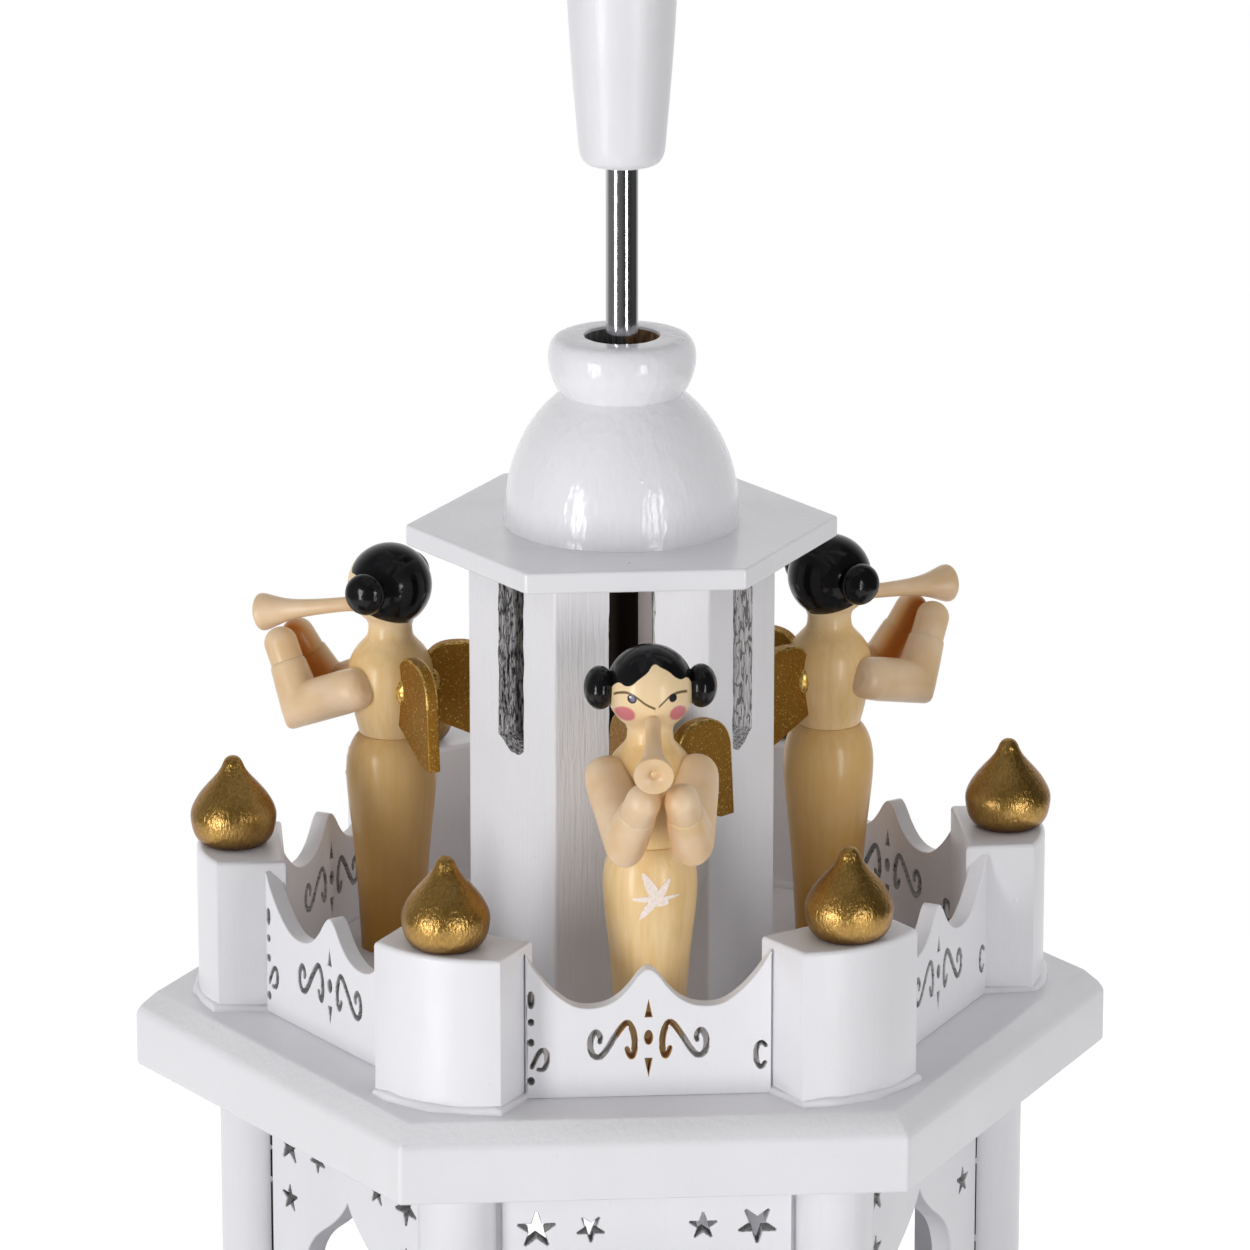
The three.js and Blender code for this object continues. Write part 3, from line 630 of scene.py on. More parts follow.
SCROLL = [
    (-7.30, 8.75), (-7.19, 9.41), (-7.52, 10.08), (-7.98, 10.28), (-8.53, 9.51), (-8.72, 8.27),
    (-8.53, 7.12), (-7.89, 6.39), (-7.06, 6.55), (-6.15, 7.69), (-5.23, 9.22), (-4.22, 10.75),
    (-3.49, 11.56), (-2.94, 11.56), (-2.39, 10.56), (-2.11, 9.22), (-2.06, 7.88), (-2.29, 6.74),
    (-2.57, 6.36), (-2.94, 6.83), (-3.21, 7.6),
]
LEFT_CURL = [
    (-17.5, 5.0), (-16.7, 6.8), (-15.95, 7.65), (-15.3, 7.2), (-15.2, 5.8), (-15.75, 4.65), (-16.5, 4.6),
]
RIGHT_CURL = [(17.5, 4.9), (16.9, 4.2), (16.3, 4.9), (16.1, 6.2), (16.35, 7.6), (17.0, 8.1), (17.6, 7.6)]
ornament = [
    [(-0.5, 12.5), (0.5, 12.5), (0, 14.86)],
    oval(0, 9.3, 0.59, 1.08),
    [(-0.5, 6.0), (0, 3.5), (0.5, 6.0)],
    stroke(SCROLL, 0.78),
    stroke([(-x, z) for x, z in SCROLL], 0.78),
    oval(-17.6, 15.6, 0.5, 1.35), oval(-17.6, 12.1, 0.45, 0.5),
    oval(-17.6, 8.9, 0.45, 0.55), oval(-17.6, 2.8, 0.5, 0.6),
    stroke(LEFT_CURL, 0.7),
    stroke(RIGHT_CURL, 0.66),
]
half_top = [
    (0, 20), (0.7, 19.75), (1.6, 18.85), (2.9, 17.1), (4.5, 15.5), (6.5, 14.4), (8.9, 14.05), (11.1, 14.45),
    (13.1, 15.7), (15, 17.5), (16.6, 19.5), (17.6, 21.1), (RAIL_HALF, 22.6),
]
scallop = through(half_top[::-1] + [(-x, z) for x, z in half_top[1:]], 5)
rail = sawn("rail", [[(-RAIL_HALF, 0), (RAIL_HALF, 0)] + scallop] + ornament, RAIL_T, 0.22)
line_holes(rail, ornament, 4.6)
smooth(rail, 40, board=True)
shift(rail, y=-RAIL_MIDDLE, z=DECK_TOP)
for piece in ring_of(rail, "scroll_railing", 0, "white_paint", "railing_panel")[1:]:
    piece.data.materials[2] = burnt[0]

# Tower: a hollow six-sided block of painted wood. A slot is sawn down each face from the top,
# and the saw has left its sides rough and grey.
TOWER_TOP = 206.2
rough, tree, shader = finish("rough_sawn_slot", Roughness=0.4)
axes = axes_in(tree)
level = node(tree, "CombineXYZ", {"X": axes["X"], "Y": axes["Y"]})[0]
inside = node(tree, "VectorMath", {0: level}, operation="LENGTH")["Value"]
torn = speckle(tree, (0.5, 0.5, 1.8), 3.0, 0.6)
strand = speckle(tree, (0.62, 0.62, 3.6), 1.5, 0.6)
crack = node(tree, "Math", {0: strand, 1: 0.5, 2: 0.035}, operation="COMPARE")[0]
grey = mixed(tree, ranged(tree, torn, 0.38, 0.5), (0.1, 0.09, 0.088, 1), (0.97, 0.96, 0.97, 1))
pale = mixed(tree, ranged(tree, torn, 0.3, 0.42), (0.5, 0.49, 0.5, 1), (1.0, 0.99, 1.0, 1))
tone = mixed(tree, ranged(tree, axes["X"], -0.005, 0.005), grey, pale)
tone = mixed(tree, ranged(tree, crack, 0, 1, 0, 0.7), tone, (0.03, 0.026, 0.026, 1))
# Towards the bore the slot walls darken: painted shade in the recess.
recess_shade = mixed(tree, ranged(tree, torn, 0.4, 0.62), SOOT_AND_SHADE, (0.3, 0.28, 0.27, 1))
tone = mixed(tree, ranged(tree, inside, 0.0181, 0.0175, 0, 0.9), tone, recess_shade)
dress(tree, shader, tone, None, (torn, 0.15), (strand, 0.25))
tower_paint = white_paint("white_tower_paint", (0.6, 0.6, 9), 0.16)
tower = spun("painted_tower", plain(23.7, DECK_TOP, TOWER_TOP), 6, tower_paint)
soften(tower, 0.45)
# The bore is painted dark as painted shade, with a pale patch of painted light on its far wall, where light
# comes in through the front slot.
hollow, tree, shader = finish("painted_bore_shade_and_light", Roughness=0.9)
axes = axes_in(tree)
slot_light_patch = ranged(tree, axes["X"], 0.0008, 0.0016)
slot_light_patch = reckon(tree, "MULTIPLY", slot_light_patch, ranged(tree, axes["X"], 0.009, 0.008))
slot_light_patch = reckon(tree, "MULTIPLY", slot_light_patch, ranged(tree, axes["Y"], 0.0, 0.004))
dress(tree, shader, mixed(tree, slot_light_patch, (0.04, 0.033, 0.028, 1), (0.86, 0.75, 0.74, 1)))
carve(tower, spun("bore_tool", plain(14.52, 130, 215), 64, hollow))
SLOT_HALF, SLOT_LOW, SLOT_REACH, SLOT_H = 3.5, 177.2, 30, 40
for side in range(3):
    slot_tool = block(2 * SLOT_HALF, 2 * SLOT_REACH, SLOT_H)
    edit_all()
    bpy.ops.mesh.subdivide(number_cuts=31)
    bpy.ops.object.mode_set(mode="OBJECT")
    shift(slot_tool, z=SLOT_LOW + SLOT_H / 2)
    for v in slot_tool.data.vertices:
        if v.co.z < (SLOT_LOW + 0.1) * MM:
            v.co.z -= 1.4 * MM * cos(v.co.x / MM / SLOT_HALF * pi / 2 + 0.5)
    turn(slot_tool, 60 * side)
    rumple(slot_tool, (0.9, 0.9, 3.5), 0.3)
    coat(slot_tool, rough)
    carve(tower, slot_tool)
smooth(tower, 30, board=True)
settle(tower, "stand", "white_paint", "tower")

# Roof plate: a thin six-sided board glued on the tower. It closes the slots at the top.
ROOF_TOP = 209.5
roof_paint = white_paint("white_roof_paint", (14, 0.8, 0.9), 0.015, 0.45, 0.16, 0.03, 2.0)
roof = spun("painted_roof", plain(33.3, TOWER_TOP, ROOF_TOP), 6, roof_paint)
soften(roof, 0.45)
carve(roof, spun("hole_tool", plain(SHAFT_HOLE, 200, 215), 48, board_paint))
smooth(roof, 40, board=True)
settle(roof, "stand", "white_paint", "roof_plate")

# Dome cap: a turned dome with a round bead for a collar, glossy with paint. It is bored wide, and
# the bore shows raw wood, brown on the right and grey on the left.
cap_paint = white_paint("white_cap_paint", (1.3, 1.3, 3.0), 0.14, 0.36, 0.15, 0.05, 0.8)
raw_bore, tree, shader = finish("raw_bore", Roughness=0.75)
streak = speckle(tree, (0.9, 0.9, 3))
brown = mixed(tree, ranged(tree, streak, 0.35, 0.65), (0.10, 0.05, 0.025, 1), (0.30, 0.16, 0.075, 1))
left_grey = mixed(tree, ranged(tree, streak, 0.35, 0.65), (0.03, 0.029, 0.028, 1), (0.17, 0.165, 0.16, 1))
dress(tree, shader, mixed(tree, ranged(tree, axes_in(tree)["X"], 0.0005, 0.0025), left_grey, brown))
DOME_R, DOME_STEPS, BORE_R = 18, 18, 5.75
rise = [i / DOME_STEPS for i in range(DOME_STEPS + 1)]
dome = [(DOME_R * sqrt(1 - (20.4 * u / 23.8) ** 2), ROOF_TOP + 1.6 + 18.8 * u) for u in rise]
collar = through([
    (9.5, 20.5), (10.05, 21.3), (10.7, 22.7), (11.15, 24.2), (11.35, 25.7), (11.25, 27.1), (10.85, 28.2),
    (10.2, 28.95), (9.3, 29.3), (8.2, 29.4), (6.3, 29.4),
], 3)
cap = spun("painted_cap", [
    (BORE_R, ROOF_TOP), (18.2, ROOF_TOP), (18.2, ROOF_TOP + 0.15), (18.06, ROOF_TOP + 0.4),
    (18, ROOF_TOP + 0.75), *dome, *((r, ROOF_TOP + z) for r, z in collar),
    (5.85, ROOF_TOP + 29.3), (BORE_R, ROOF_TOP + 28.9), (BORE_R, ROOF_TOP),
], 96, cap_paint, raw_bore)
for face in cap.data.polygons:
    if Vector(face.center[:2]).length < (BORE_R + 0.03) * MM:
        face.material_index = 1
smooth(cap, 40)
settle(cap, "stand", "white_paint", "dome_cap")

# Guide bush: a dark ring of wood deep in the cap, which keeps the shaft upright.
bush_wood, tree, shader = finish("dark_bush_wood", Roughness=0.6)
streak = speckle(tree, (0.6, 0.6, 3))
dress(tree, shader, mixed(tree, streak, (0.02, 0.014, 0.01, 1), (0.06, 0.04, 0.028, 1)))
RUN_R = 2.8
bush = spun("dark_bush", [
    (RUN_R, 226.9), (5.2, 226.9), (5.45, 227.2), (5.45, 234.5), (5.2, 234.9), (3.1, 234.9),
    (RUN_R, 234.6), (RUN_R, 226.9),
], 48, bush_wood)
smooth(bush)
settle(bush, "stand", "dark_bush", "guide_bush")

# Angels: each has a turned skirt and a turned body with its head, both of pale lacquered wood.
# The hair, face and a small star on the skirt are painted by hand.
ANGEL_CIRCLE = 38.82
SKIRT_H, HEAD_R, HEAD_Z = 35.4, 6.6, 59.37


def own_place(piece):
    """Keeps each point's place in the figure's own frame, in mm, so that paint and grain turn with it."""
    kept = piece.data.attributes.new("own_place", "FLOAT_VECTOR", "POINT")
    kept.data.foreach_set("vector", [c for v in piece.data.vertices for c in v.co / MM])


def egg(half_w, half_h, steps):
    return [(half_w * sin(pi * i / steps), -half_h * cos(pi * i / steps)) for i in range(steps + 1)]


def lacquered(name, foot_shade, brown=0.0):
    """Pale turned wood under clear lacquer. brown is how brown it is, and foot_shade how much painted shade
    darkens it towards its foot.
    """
    material, tree, shader = finish(name, Specular_IOR_Level=0.25, Coat_Weight=0.2, Coat_Roughness=0.15)
    place = node(tree, "Attribute", attribute_name="own_place")["Vector"]
    grain = node(tree, "Mapping", {"Vector": place, "Scale": (0.9, 0.9, 0.07)})[0]
    rings = node(tree, "TexNoise", {"Vector": grain, "Scale": 1.0, "Detail": 4.0, "Roughness": 0.6})[0]
    blotch = node(tree, "TexNoise", {"Vector": place, "Scale": 0.12, "Detail": 2.0})[0]
    up = node(tree, "SeparateXYZ", {0: place})["Z"]
    tone = mixed(tree, ranged(tree, rings, 0.3, 0.72), (0.79, 0.55, 0.26, 1), (0.87, 0.67, 0.40, 1))
    tone = mixed(tree, ranged(tree, blotch, 0.35, 0.7, 0, 0.5), tone, (0.70, 0.44, 0.15, 1))
    tone = mixed(tree, brown, tone, (0.58, 0.30, 0.05, 1))
    # Painted shade: darker and browner towards the foot, where the railing shades the skirt.
    tone = mixed(tree, ranged(tree, up, 29.0, 4.0, 0, foot_shade), tone, (0.42, 0.19, 0.02, 1))
    dress(tree, shader, tone, ranged(tree, rings, 0.3, 0.7, 0.3, 0.42), (rings, 0.012))
    return material, tree, shader, tone


pale_skirt_wood = lacquered("lacquered_pale_skirt", 0.25)[0]
brown_skirt_wood = lacquered("lacquered_brown_skirt", 0.9, 0.45)[0]
body_wood, tree, shader, tone = lacquered("lacquered_body", 0.0, 0.15)


def curve_of(tree, value, points, low, high):
    """A drawn line: the height that belongs to a value, both between low and high."""
    made = tree.nodes.new("ShaderNodeFloatCurve")
    line = made.mapping.curves[0]
    made.mapping.use_clip = False
    while len(line.points) < len(points):
        line.points.new(0.5, 0.5)
    for point, (x, z) in zip(line.points, sorted(points)):
        point.location = ((x - low) / (high - low), (z - low) / (high - low))
        point.handle_type = "AUTO"
    made.mapping.update()
    tree.links.new(ranged(tree, value, low, high), made.inputs["Value"])
    return ranged(tree, made.outputs[0], 0, 1, low, high)


def spot(tree, x, z, at, size, soft):
    """1 inside a painted oval."""
    dx = reckon(tree, "DIVIDE", reckon(tree, "SUBTRACT", x, at[0]), size[0])
    dz = reckon(tree, "DIVIDE", reckon(tree, "SUBTRACT", z, at[1]), size[1])
    far = reckon(tree, "ADD", reckon(tree, "MULTIPLY", dx, dx), reckon(tree, "MULTIPLY", dz, dz))
    return ranged(tree, far, 1 - soft, 1 + soft, 1, 0)


place = node(tree, "Attribute", attribute_name="own_place")["Vector"]
axes = node(tree, "SeparateXYZ", {0: place})
x, y, z = axes["X"], axes["Y"], reckon(tree, "SUBTRACT", axes["Z"], HEAD_Z)
in_front = ranged(tree, y, -0.5, -1.0)
tone = mixed(tree, ranged(tree, z, -8.0, -5.5, 0, 0.6), tone, (0.87, 0.70, 0.47, 1))
FRINGE = [
    (-6.7, -0.6), (-6.2, 0.4), (-5.6, 1.5), (-4.9, 2.0), (-4.1, 1.75), (-3.3, 1.9), (-2.2, 2.8),
    (-0.8, 3.85), (0.3, 4.85), (1.2, 4.45), (2.4, 3.8), (3.5, 2.85), (4.3, 2.45), (5.2, 2.4), (5.9, 1.5),
    (6.3, 0.5), (6.7, -0.6),
]
fringe = curve_of(tree, x, FRINGE, -8, 8)
over_fringe = ranged(tree, reckon(tree, "SUBTRACT", z, fringe), -0.06, 0.06)
nape = reckon(tree, "ADD", reckon(tree, "MULTIPLY", y, -0.42), -4.0)
over_nape = ranged(tree, reckon(tree, "SUBTRACT", z, nape), -0.08, 0.08)
hair = ranged(tree, in_front, 0.0, 1.0, over_nape, over_fringe)
CHEEK, BROW, EYE = (0.62, 0.19, 0.21, 1), (0.16, 0.10, 0.045, 1), (0.012, 0.01, 0.012, 1)
BROWS = [
    [(-5.7, 0.1), (-4.9, 0.6), (-3.7, 0.8), (-2.5, 0.25), (-1.1, -0.75), (0.3, -1.45)],
    [(0.8, -1.2), (1.6, -0.4), (2.4, 0.3), (3.3, 0.65), (4.2, 0.7), (5.2, 0.5)],
]
paint = [
    (spot(tree, x, z, (-4.1, -2.75), (1.45, 1.3), 0.25), CHEEK),
    (spot(tree, x, z, (3.8, -2.7), (1.3, 1.3), 0.25), CHEEK),
]
for points in BROWS:
    drawn = curve_of(tree, x, points, -8, 8)
    off_line = reckon(tree, "ABSOLUTE", reckon(tree, "SUBTRACT", z, drawn), 0.0)
    on_line = ranged(tree, off_line, 0.12, 0.28, 1, 0)
    start, end = points[0][0], points[-1][0]
    begun, ended = ranged(tree, x, start - 0.1, start + 0.1), ranged(tree, x, end - 0.1, end + 0.1, 1, 0)
    drawn_part = reckon(tree, "MULTIPLY", begun, ended)
    paint.append((reckon(tree, "MULTIPLY", on_line, drawn_part), BROW))
paint += [
    (spot(tree, x, z, (-3.15, 0.0), (0.68, 0.74), 0.15), EYE),
    (spot(tree, x, z, (2.95, 0.05), (0.6, 0.66), 0.15), EYE),
    # A painted highlight in the left eye: a blue-grey patch with a white dot.
    (spot(tree, x, z, (-3.1, -0.1), (0.36, 0.42), 0.3), (0.10, 0.09, 0.16, 1)),
    (spot(tree, x, z, (-3.4, 0.25), (0.17, 0.17), 0.3), (0.7, 0.7, 0.75, 1)),
]
for mask, colour in paint:
    tone = mixed(tree, reckon(tree, "MULTIPLY", mask, in_front), tone, colour)
HAIR = (0.006, 0.006, 0.007, 1)
tone = mixed(tree, hair, tone, HAIR)
dress(tree, shader, tone, ranged(tree, hair, 0, 1, 0.36, 0.13))
tree.links.new(ranged(tree, hair, 0, 1, 0.2, 0), shader.inputs["Coat Weight"])
hair_paint, tree, shader = finish("black_hair_paint", Base_Color=HAIR, Specular_IOR_Level=0.25)
brush = speckle(tree, (1.4, 1.4, 1.4))
dress(tree, shader, None, ranged(tree, brush, 0.3, 0.7, 0.09, 0.2), (brush, 0.1))
star_paint, tree, shader = finish("pale_star_paint", Roughness=0.4)
thin = speckle(tree, (0.5, 0.5, 0.5))
tone = mixed(tree, ranged(tree, thin, 0.35, 0.65), (0.80, 0.66, 0.56, 1), (0.88, 0.80, 0.77, 1))
dress(tree, shader, tone)

skirt_line = through([
    (5.0, 0), (5.1, 2.5), (5.4, 8), (5.8, 14), (6.3, 19.5), (6.85, 24.3), (7.12, 27.8), (7.1, 30),
    (6.85, 31.8), (6.4, 33.3), (5.75, 34.55), (5.1, 35.3),
], 4)
skirt = spun("skirt", [(0, 0), *skirt_line, (4.95, SKIRT_H), (0, SKIRT_H)], 64, pale_skirt_wood)
smooth(skirt, 50)
own_place(skirt)
# The star is six quick strokes of a small brush across the skirt, each from the middle outwards.
STROKES = [
    ((0.9, 28.0), (-1.9, 32.6), 1.9), ((0.3, 28.0), (2.9, 31.6), 1.4), ((0.4, 28.3), (5.0, 28.7), 0.7),
    ((0.8, 28.4), (-3.7, 28.2), 1.0), ((0.9, 28.9), (-2.5, 24.9), 1.4), ((-1.1, 28.5), (2.6, 27.7), 2.1),
]
star_parts = []
for number, ((x0, z0), (x1, z1), width) in enumerate(STROKES):
    run = Vector((x1 - x0, 0, z1 - z0))
    bpy.ops.mesh.primitive_grid_add(x_subdivisions=14, y_subdivisions=6, size=1)
    part = bpy.context.object
    for v in part.data.vertices:
        along = v.co.x + 0.5
        taper = sqrt(max(0.03, 1 - (2 * along - 1) ** 2)) * (1.15 - 0.55 * along)
        v.co = Vector((along * run.length * MM, v.co.y * width * taper * MM, 0))
    lean = atan2(run.z, run.x)
    part.data.transform(Matrix.Rotation(pi / 2, 4, "X") @ Matrix.Rotation(lean, 4, "Z"))
    shift(part, x0, -7.6, z0)
    over = (0.02 + 0.012 * number) * MM
    applied(part, "SHRINKWRAP", target=skirt, wrap_mode="ABOVE_SURFACE", offset=over)
    applied(part, "SOLIDIFY", thickness=0.1 * MM, offset=0)
    coat(part, star_paint)
    star_parts.append(part)
joined([skirt, *star_parts])

neck = asin(3.45 / HEAD_R)
round_head = [neck + (pi - neck) * i / 40 for i in range(1, 40)]
head = [(HEAD_R * sin(a), HEAD_Z - HEAD_R * cos(a)) for a in round_head]
torso_line = through([
    (5.0, 35.5), (5.2, 36.3), (5.65, 38.1), (6.1, 40.3), (6.5, 42.7), (6.65, 44.7), (6.55, 46.4),
    (6.1, 47.9), (5.3, 49.2), (4.4, 50.2), (3.75, 51.0), (3.5, 51.8), (3.42, 53.0),
], 4)
torso_line = [(0, SKIRT_H), (4.85, SKIRT_H), *torso_line, *head, (0, HEAD_Z + HEAD_R)]
torso = spun("torso", torso_line, 96, body_wood, hair_paint)
smooth(torso, 60)
for side in (-1, 1):
    bun = spun("bun", egg(3.3, 2.4, 24), 40, hair_paint)
    turn(bun, 90, "Y")
    shift(bun, side * 7.6, -0.4, HEAD_Z + 0.25)
    smooth(bun, 80)
    joined([torso, bun])
own_place(torso)

# Arms and trumpet: cast in pale resin. Each arm is bent sharply at the elbow and has a moulded
# line at the wrist, and both hands hold up the bell of the trumpet.
resin, tree, shader = finish(
    "pale_resin", Specular_IOR_Level=0.4, Subsurface_Weight=0.12, Subsurface_Scale=0.002,
    Subsurface_Radius=(1.0, 0.5, 0.25),
)
haze = speckle(tree, (6, 6, 6), 2.0)
tone = mixed(tree, ranged(tree, haze, 0.35, 0.65), (0.72, 0.50, 0.28, 1), (0.77, 0.58, 0.39, 1))
# Painted glow: faces turned to the other arm are painted orange, standing in for light through the resin.
painted_glow_share = node(tree, "Attribute", attribute_name="painted_glow_share")["Fac"]
tone = mixed(tree, ranged(tree, painted_glow_share, 0.1, 0.7), tone, (0.56, 0.225, 0.04, 1))
dress(tree, shader, tone, ranged(tree, haze, 0.3, 0.7, 0.30, 0.40), (haze, 0.1))


def laid(piece, start, end):
    """Lays a piece that was turned about the upright axis from start towards end, in mm."""
    run = Vector(end) - Vector(start)
    spin = run.to_track_quat("Z", "Y").to_matrix().to_4x4()
    piece.data.transform(Matrix.Translation(Vector(start) * MM) @ spin)


def paint_inner_glow(piece, side, glow):
    """Marks how far each point of an arm faces the other arm, where an orange glow through the resin is
    painted.
    """
    inner = piece.data.attributes.new("painted_glow_share", "FLOAT", "POINT")
    facing = []
    for v in piece.data.vertices:
        forward = min(1, max(0, -v.co.y / MM - 9) / 3)
        facing.append(glow * max(0.0, -side * v.normal.x) * forward)
    inner.data.foreach_set("value", facing)


def arms_and_trumpet(name, droop, shoulder_z, elbow_z, grip, glow):
    """droop is how far the trumpet hangs down, and grip how far along it the hands are, how far below and
    how far to the right."""
    mouth = Vector((0, -5.75, 55.6))
    lean = Vector((-0.07 * grip[2] / 0.3, -cos(radians(droop)), -sin(radians(droop)))).normalized()
    horn_line = through([
        (1.0, 0), (1.25, 0.5), (1.2, 1.5), (1.15, 3), (1.25, 7), (1.45, 10.2), (1.8, 12.8), (2.35, 14.8),
        (2.8, 16.2), (2.98, 17.1), (2.88, 17.45),
    ], 3)
    bell = [(2.55, 17.4), (1.9, 17.2), (1.0, 17.1), (0.8, 16.8), (0.55, 16.5), (0.25, 16.7), (0, 16.75)]
    horn = spun("horn", [(0, 0), *horn_line, *bell], 40)
    laid(horn, mouth, mouth + lean)
    smooth(horn, 60)
    under = mouth + lean * grip[0] + Vector((0, 0, -3.8 - grip[1]))
    parts = [horn]
    for side in (-1, 1):
        shoulder = Vector((side * 6.8, -2.4, shoulder_z))
        elbow = Vector((side * 4.9 + grip[2], -13.2, elbow_z))
        wrist_end = Vector((side * 2.7 + grip[2], under.y, under.z))
        upper_run = (elbow - shoulder).normalized()
        lower_run = (wrist_end - elbow).normalized()
        length = (elbow - shoulder).length
        upper = spun("upper_arm", [
            (0, -2.3), (1.6, -2.2), (2.6, -1.6), (3.15, -0.6), (3.4, 0.8), (3.5, 3),
            (3.45, length), (3.4, length + 8), (0, length + 8),
        ], 40)
        laid(upper, shoulder, elbow)
        reach = (wrist_end - elbow).length
        lower = spun("forearm", [
            (0, -8), (3.5, -8), (3.4, 0),
            (3.15, reach * 0.35), (2.9, reach * 0.62), (2.75, reach * 0.66), (0, reach * 0.66),
        ], 40)
        laid(lower, elbow, wrist_end)
        fold = (upper_run + lower_run).normalized()
        split_at(upper, elbow, fold)
        split_at(lower, elbow, -fold)
        arm = joined([upper, lower])
        applied(arm, "REMESH", mode="VOXEL", voxel_size=0.22 * MM)
        applied(arm, "SMOOTH", factor=0.5, iterations=6)
        smooth(arm, 180)
        paint_inner_glow(arm, side, glow)
        fist = [(2.66 * cos(pi / 2 * i / 10), reach - 0.5 + 2.5 * sin(pi / 2 * i / 10)) for i in range(10)]
        cuff = [(0, reach * 0.6), (2.6, reach * 0.6), (2.66, reach * 0.65)]
        hand = spun("hand", [*cuff, *fist, (0, reach + 2)], 40)
        laid(hand, elbow, wrist_end)
        smooth(hand, 60)
        paint_inner_glow(hand, side, glow)
        parts += [arm, hand]
    whole = joined(parts)
    whole.name = name
    coat(whole, resin)
    return whole


# Wings: a pair of thin flat plates in gold glitter, glued in a V to the angel's back. The rims are
# rough with glitter, and a blob of glue holds them.
glitter, tree, shader = finish("gold_glitter", Metallic=0.9)
tilt = node(tree, "SeparateColor", {0: cells(tree, 5200.0)["Color"]})
# A few random cells are painted bright: painted sparkle of the glitter.
painted_sparkle = ranged(tree, tilt["Red"], 0.93, 0.98)
tone = mixed(tree, tilt["Green"], (0.30, 0.14, 0.018, 1), (0.42, 0.215, 0.034, 1))
tone = mixed(tree, painted_sparkle, tone, (0.72, 0.50, 0.16, 1))
dress(tree, shader, tone, ranged(tree, tilt["Blue"], 0, 1, 0.4, 0.6), (tilt["Red"], 0.08))
rim_glitter, tree, shader = finish("bright_rim_glitter", Metallic=0.9)
tilt = node(tree, "SeparateColor", {0: cells(tree, 2600.0)["Color"]})
tone = mixed(tree, tilt["Green"], (0.42, 0.24, 0.05, 1), (0.95, 0.68, 0.22, 1))
dress(tree, shader, tone, ranged(tree, tilt["Blue"], 0, 1, 0.25, 0.5), (tilt["Red"], 0.2))


def wings(name, angles, rise):
    """angles are how far each wing points to the side of straight back."""
    low, length, height = SKIRT_H - 1.8 + rise, 13, 16.2

    def at(along, up):
        return length * along, low + height * up

    line = [at(0, 0.28), at(0, 0.72)]
    line += bezier([at(0, 0.72), at(0.1, 1), at(0.3, 1), at(0.48, 1)], 10)[1:]
    line += bezier([at(0.48, 1), at(0.75, 1), at(0.95, 0.86), at(0.95, 0.62)], 10)
    line += [at(0.95, 0.62), at(1, 0), at(0.78, 0)]
    parts = []
    for angle in angles:
        plate = sawn("wing", [[(px + 4.6, pz) for px, pz in line]], 2.0, 0.3)
        turn(plate, 90 - angle)
        blob = spun("blob", egg(1.8, 2.5, 16), 24)
        shift(blob, y=6.2, z=low + height * 0.62)
        turn(blob, -angle)
        parts += [plate, blob]
    whole = joined(parts)
    whole.name = name
    coat(whole, glitter, rim_glitter)
    smooth(whole, 40, board=True)
    for face in whole.data.polygons:
        face.material_index = int(face.area < 0.3 * MM * MM)
    return whole


DROOP = (10, 4, 12)
SHOULDER_Z = (46.6, 43.8, 43.9)
ELBOW_Z = (40.0, 41.0, 39.4)
GRIP = ((14.4, 1.2, 0.3), (12.6, 0.2, 0), (12.7, 0.4, 0))
PAINTED_GLOW = (0.4, 1, 1)
WING_ANGLES = ((48, -14), (60, -10), (40, -35))
WING_RISE = (2.2, 0, 0)
ASIDE = (1.35, 0.45, -1.3)
for k in range(3):
    arm_pose = DROOP[k], SHOULDER_Z[k], ELBOW_Z[k], GRIP[k], PAINTED_GLOW[k]
    pieces = {
        "skirt": (copied(skirt, f"turned_skirt_{k + 1}"), "lacquered_wood"),
        "torso": (copied(torso, f"turned_angel_{k + 1}"), "lacquered_wood"),
        "arms": (arms_and_trumpet(f"resin_arms_{k + 1}", *arm_pose), "cast_resin"),
        "wings": (wings(f"glitter_wings_{k + 1}", WING_ANGLES[k], WING_RISE[k]), "gold_paint"),
    }
    if k > 0:
        pieces["skirt"][0].data.materials[0] = brown_skirt_wood
    for part, (piece, slot) in pieces.items():
        shift(piece, y=-ANGEL_CIRCLE, z=DECK_TOP)
        turn(piece, 120 * k)
        shift(piece, x=ASIDE[k])
        settle(piece, "stand", slot, f"angel_{k + 1}_{part}")
bpy.data.objects.remove(skirt)
bpy.data.objects.remove(torso)

# Shaft: a polished steel rod with a ground point. It stands in the bearing cup, runs through the
# bush and carries the turntable and the hub. Inside the tower it is painted dark, as painted shade.
steel, tree, shader = finish("polished_steel", Metallic=1.0)
drawn = speckle(tree, (0.8, 0.8, 60), 3.0, 0.65)
rust = speckle(tree, (0.9, 0.9, 0.9), 3.0, 0.7)
up = axes_in(tree)["Z"]
# Inside the tower the steel is painted dark and dull: painted shade.
shade_in_tower = reckon(tree, "MULTIPLY", ranged(tree, up, 0.134, 0.136), ranged(tree, up, 0.234, 0.236, 1, 0))
tone = mixed(tree, ranged(tree, drawn, 0.35, 0.65), (0.46, 0.46, 0.475, 1), (0.66, 0.66, 0.675, 1))
tone = mixed(tree, shade_in_tower, tone, (0.05, 0.04, 0.034, 1))
gloss = ranged(tree, rust, 0.35, 0.7, 0.05, 0.16)
dress(tree, shader, tone, ranged(tree, shade_in_tower, 0, 1, gloss, 0.7), (drawn, 0.006), (rust, 0.008))
rod = spun("steel_shaft", [
    (0, 15.05), (0.5, 15.2), (2.4, 17.4), (2.5, 17.8), (2.5, 120), (2.5, 304.8), (2.2, 305.2), (0, 305.2),
], 48, steel)
smooth(rod)
settle(rod, "rotor", "polished_steel", "shaft")

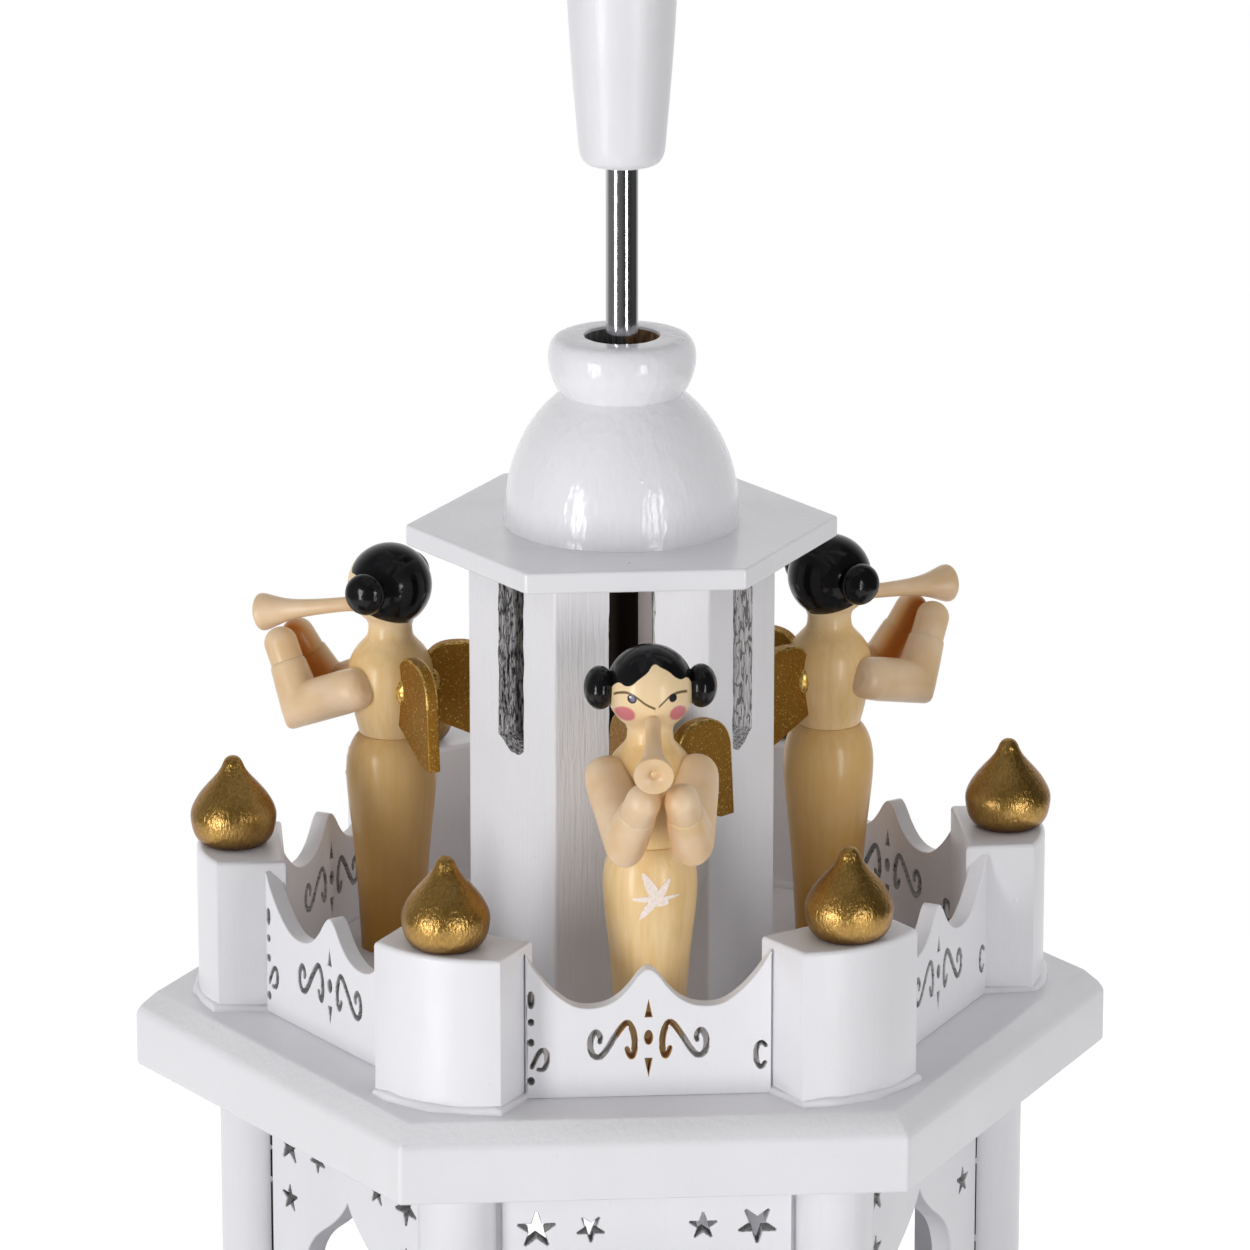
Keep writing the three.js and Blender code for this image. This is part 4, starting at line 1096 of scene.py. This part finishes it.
# Turntable: a turned disc with a boss under it, painted white. Three small turned trees stand on
# it, so that something passes the arches as it turns.
FIR_CIRCLE = 27.11
table_paint = white_paint("white_table_paint", (10, 0.9, 0.9))
disc = spun("painted_turntable", [
    (RUN_R, 24), (8.4, 24), (9, 24.6), (9, 31.4), (9.6, 32), (41.2, 32), (41.9, 32.8), (42.1, 34.5),
    (41.9, 36.2), (41.2, 37), (RUN_R, 37), (RUN_R, 24),
], 96, table_paint)
smooth(disc, 40)
fir_line = [
    (0, 34.5), (2.6, 34.5), (2.6, 43.2), (10.7, 43.2), (11, 43.6), (10.4, 45.5), (7.6, 52), (5.0, 58.8),
    (8.6, 58.8), (8.8, 59.2), (8.2, 61), (6.2, 67), (4.0, 73.4), (6.2, 73.4), (6.4, 73.8), (5.8, 75.6),
    (3.2, 82.5), (0.9, 88.4), (0.4, 88.9), (0, 89),
]
parts = [disc]
for k in range(3):
    fir = spun("fir", fir_line, 40, table_paint)
    smooth(fir, 35)
    shift(fir, y=-FIR_CIRCLE)
    turn(fir, 60 + 120 * k)
    parts.append(fir)
disc = joined(parts)
settle(disc, "rotor", "white_paint", "turntable")

# Hub: a long turned taper that widens to a round head, painted white, with a hole for each blade.
# Only its lower end is in the picture.
HUB_TOP, BLADE_Z = 347.5, 335.5
hub_paint = white_paint("white_hub_paint", (0.9, 0.9, 20), 0.035, 0.4, 0.32, 0.05)
hub_line = through([
    (4.1, 265.5), (5.3, 265.75), (6.1, 266.5), (6.55, 267.9), (6.8, 270.5), (7.35, 277), (7.9, 284.5),
    (8.3, 291.5), (8.6, 300), (8.9, 311), (9.3, 319.5), (10.4, 323.4), (13.2, 326), (16.3, 328.7),
    (17.8, 332), (18, 335.5), (17.8, 339.2), (16.4, 342.4), (13.2, 345), (9.4, 346.7), (6.2, 347.4),
], 4)
hub = spun("painted_hub", [
    (RUN_R, 305.5), (RUN_R, 265.8), (3.1, 265.5), *hub_line, (5.5, HUB_TOP), (0, HUB_TOP), (0, 305.5),
    (RUN_R, 305.5),
], 96, hub_paint)
for k in range(6):
    seat = spun("seat_tool", plain(2.3, 9, 20), 24, raw_bore)
    turn(seat, 90, "X")
    shift(seat, z=BLADE_Z)
    turn(seat, FIRST_CORNER + 60 * k)
    carve(hub, seat)
smooth(hub, 40)
settle(hub, "rotor", "white_paint", "hub")

# Knob: a turned ball on a short neck, brushed with gold like the finials, which closes the hub.
knob_line = through([
    (3.3, HUB_TOP), (3.2, 348.1), (3.7, 349), (5.1, 350.8), (5.85, 352.9), (5.95, 354.4), (5.5, 356.6),
    (4.3, 358.4), (2.5, 359.3), (0, 359.5),
], 4)
knob = spun("gilded_knob", [(0, HUB_TOP), *[(max(r, 0), z) for r, z in knob_line]], 48, gold)
smooth(knob, 50)
settle(knob, "rotor", "gold_paint", "hub_knob")

# Blades: thin boards of white painted wood, each let into a dowel that turns in the hub, so that
# its pitch can be set by hand.
blade_paint = white_paint("white_blade_paint", (14, 14, 3), 0.008, orange_peel=0.008, fine=1.0)
BLADE_T, PITCH = 2.2, 35
ROOT, TIP, TURN_IN = 10, 23, 9.2
NEAR, BEND, FAR = 30, 125.8, 135
edge_line = [(-ROOT, NEAR), (-TIP, BEND)]
edge_line += bezier([(-TIP, BEND), (-TIP, 131.9), (-TIP + 3.1, FAR), (-TIP + TURN_IN, FAR)], 10)
edge_line += [(-TIP + TURN_IN, FAR), (TIP - TURN_IN, FAR)]
edge_line += bezier([(TIP - TURN_IN, FAR), (TIP - 3.1, FAR), (TIP, 131.9), (TIP, BEND)], 10)
edge_line += [(TIP, BEND), (ROOT, NEAR)]
for k in range(6):
    board = slab("board", [(px, -pz) for px, pz in edge_line], -BLADE_T / 2, BLADE_T, 0.5)
    turn(board, PITCH, "Y")
    dowel = spun("dowel", [(0, 9.3), (1.7, 9.3), (2, 9.6), (2, 42), (1.7, 43.4), (0, 44)], 24)
    turn(dowel, 90, "X")
    blade = joined([board, dowel])
    blade.name = f"painted_blade_{k + 1}"
    coat(blade, blade_paint)
    shift(blade, z=BLADE_Z)
    turn(blade, FIRST_CORNER + 60 * k)
    smooth(blade, 40, board=True)
    settle(blade, f"fan_blade_{k + 1}", "white_paint", f"blade_{k + 1}")
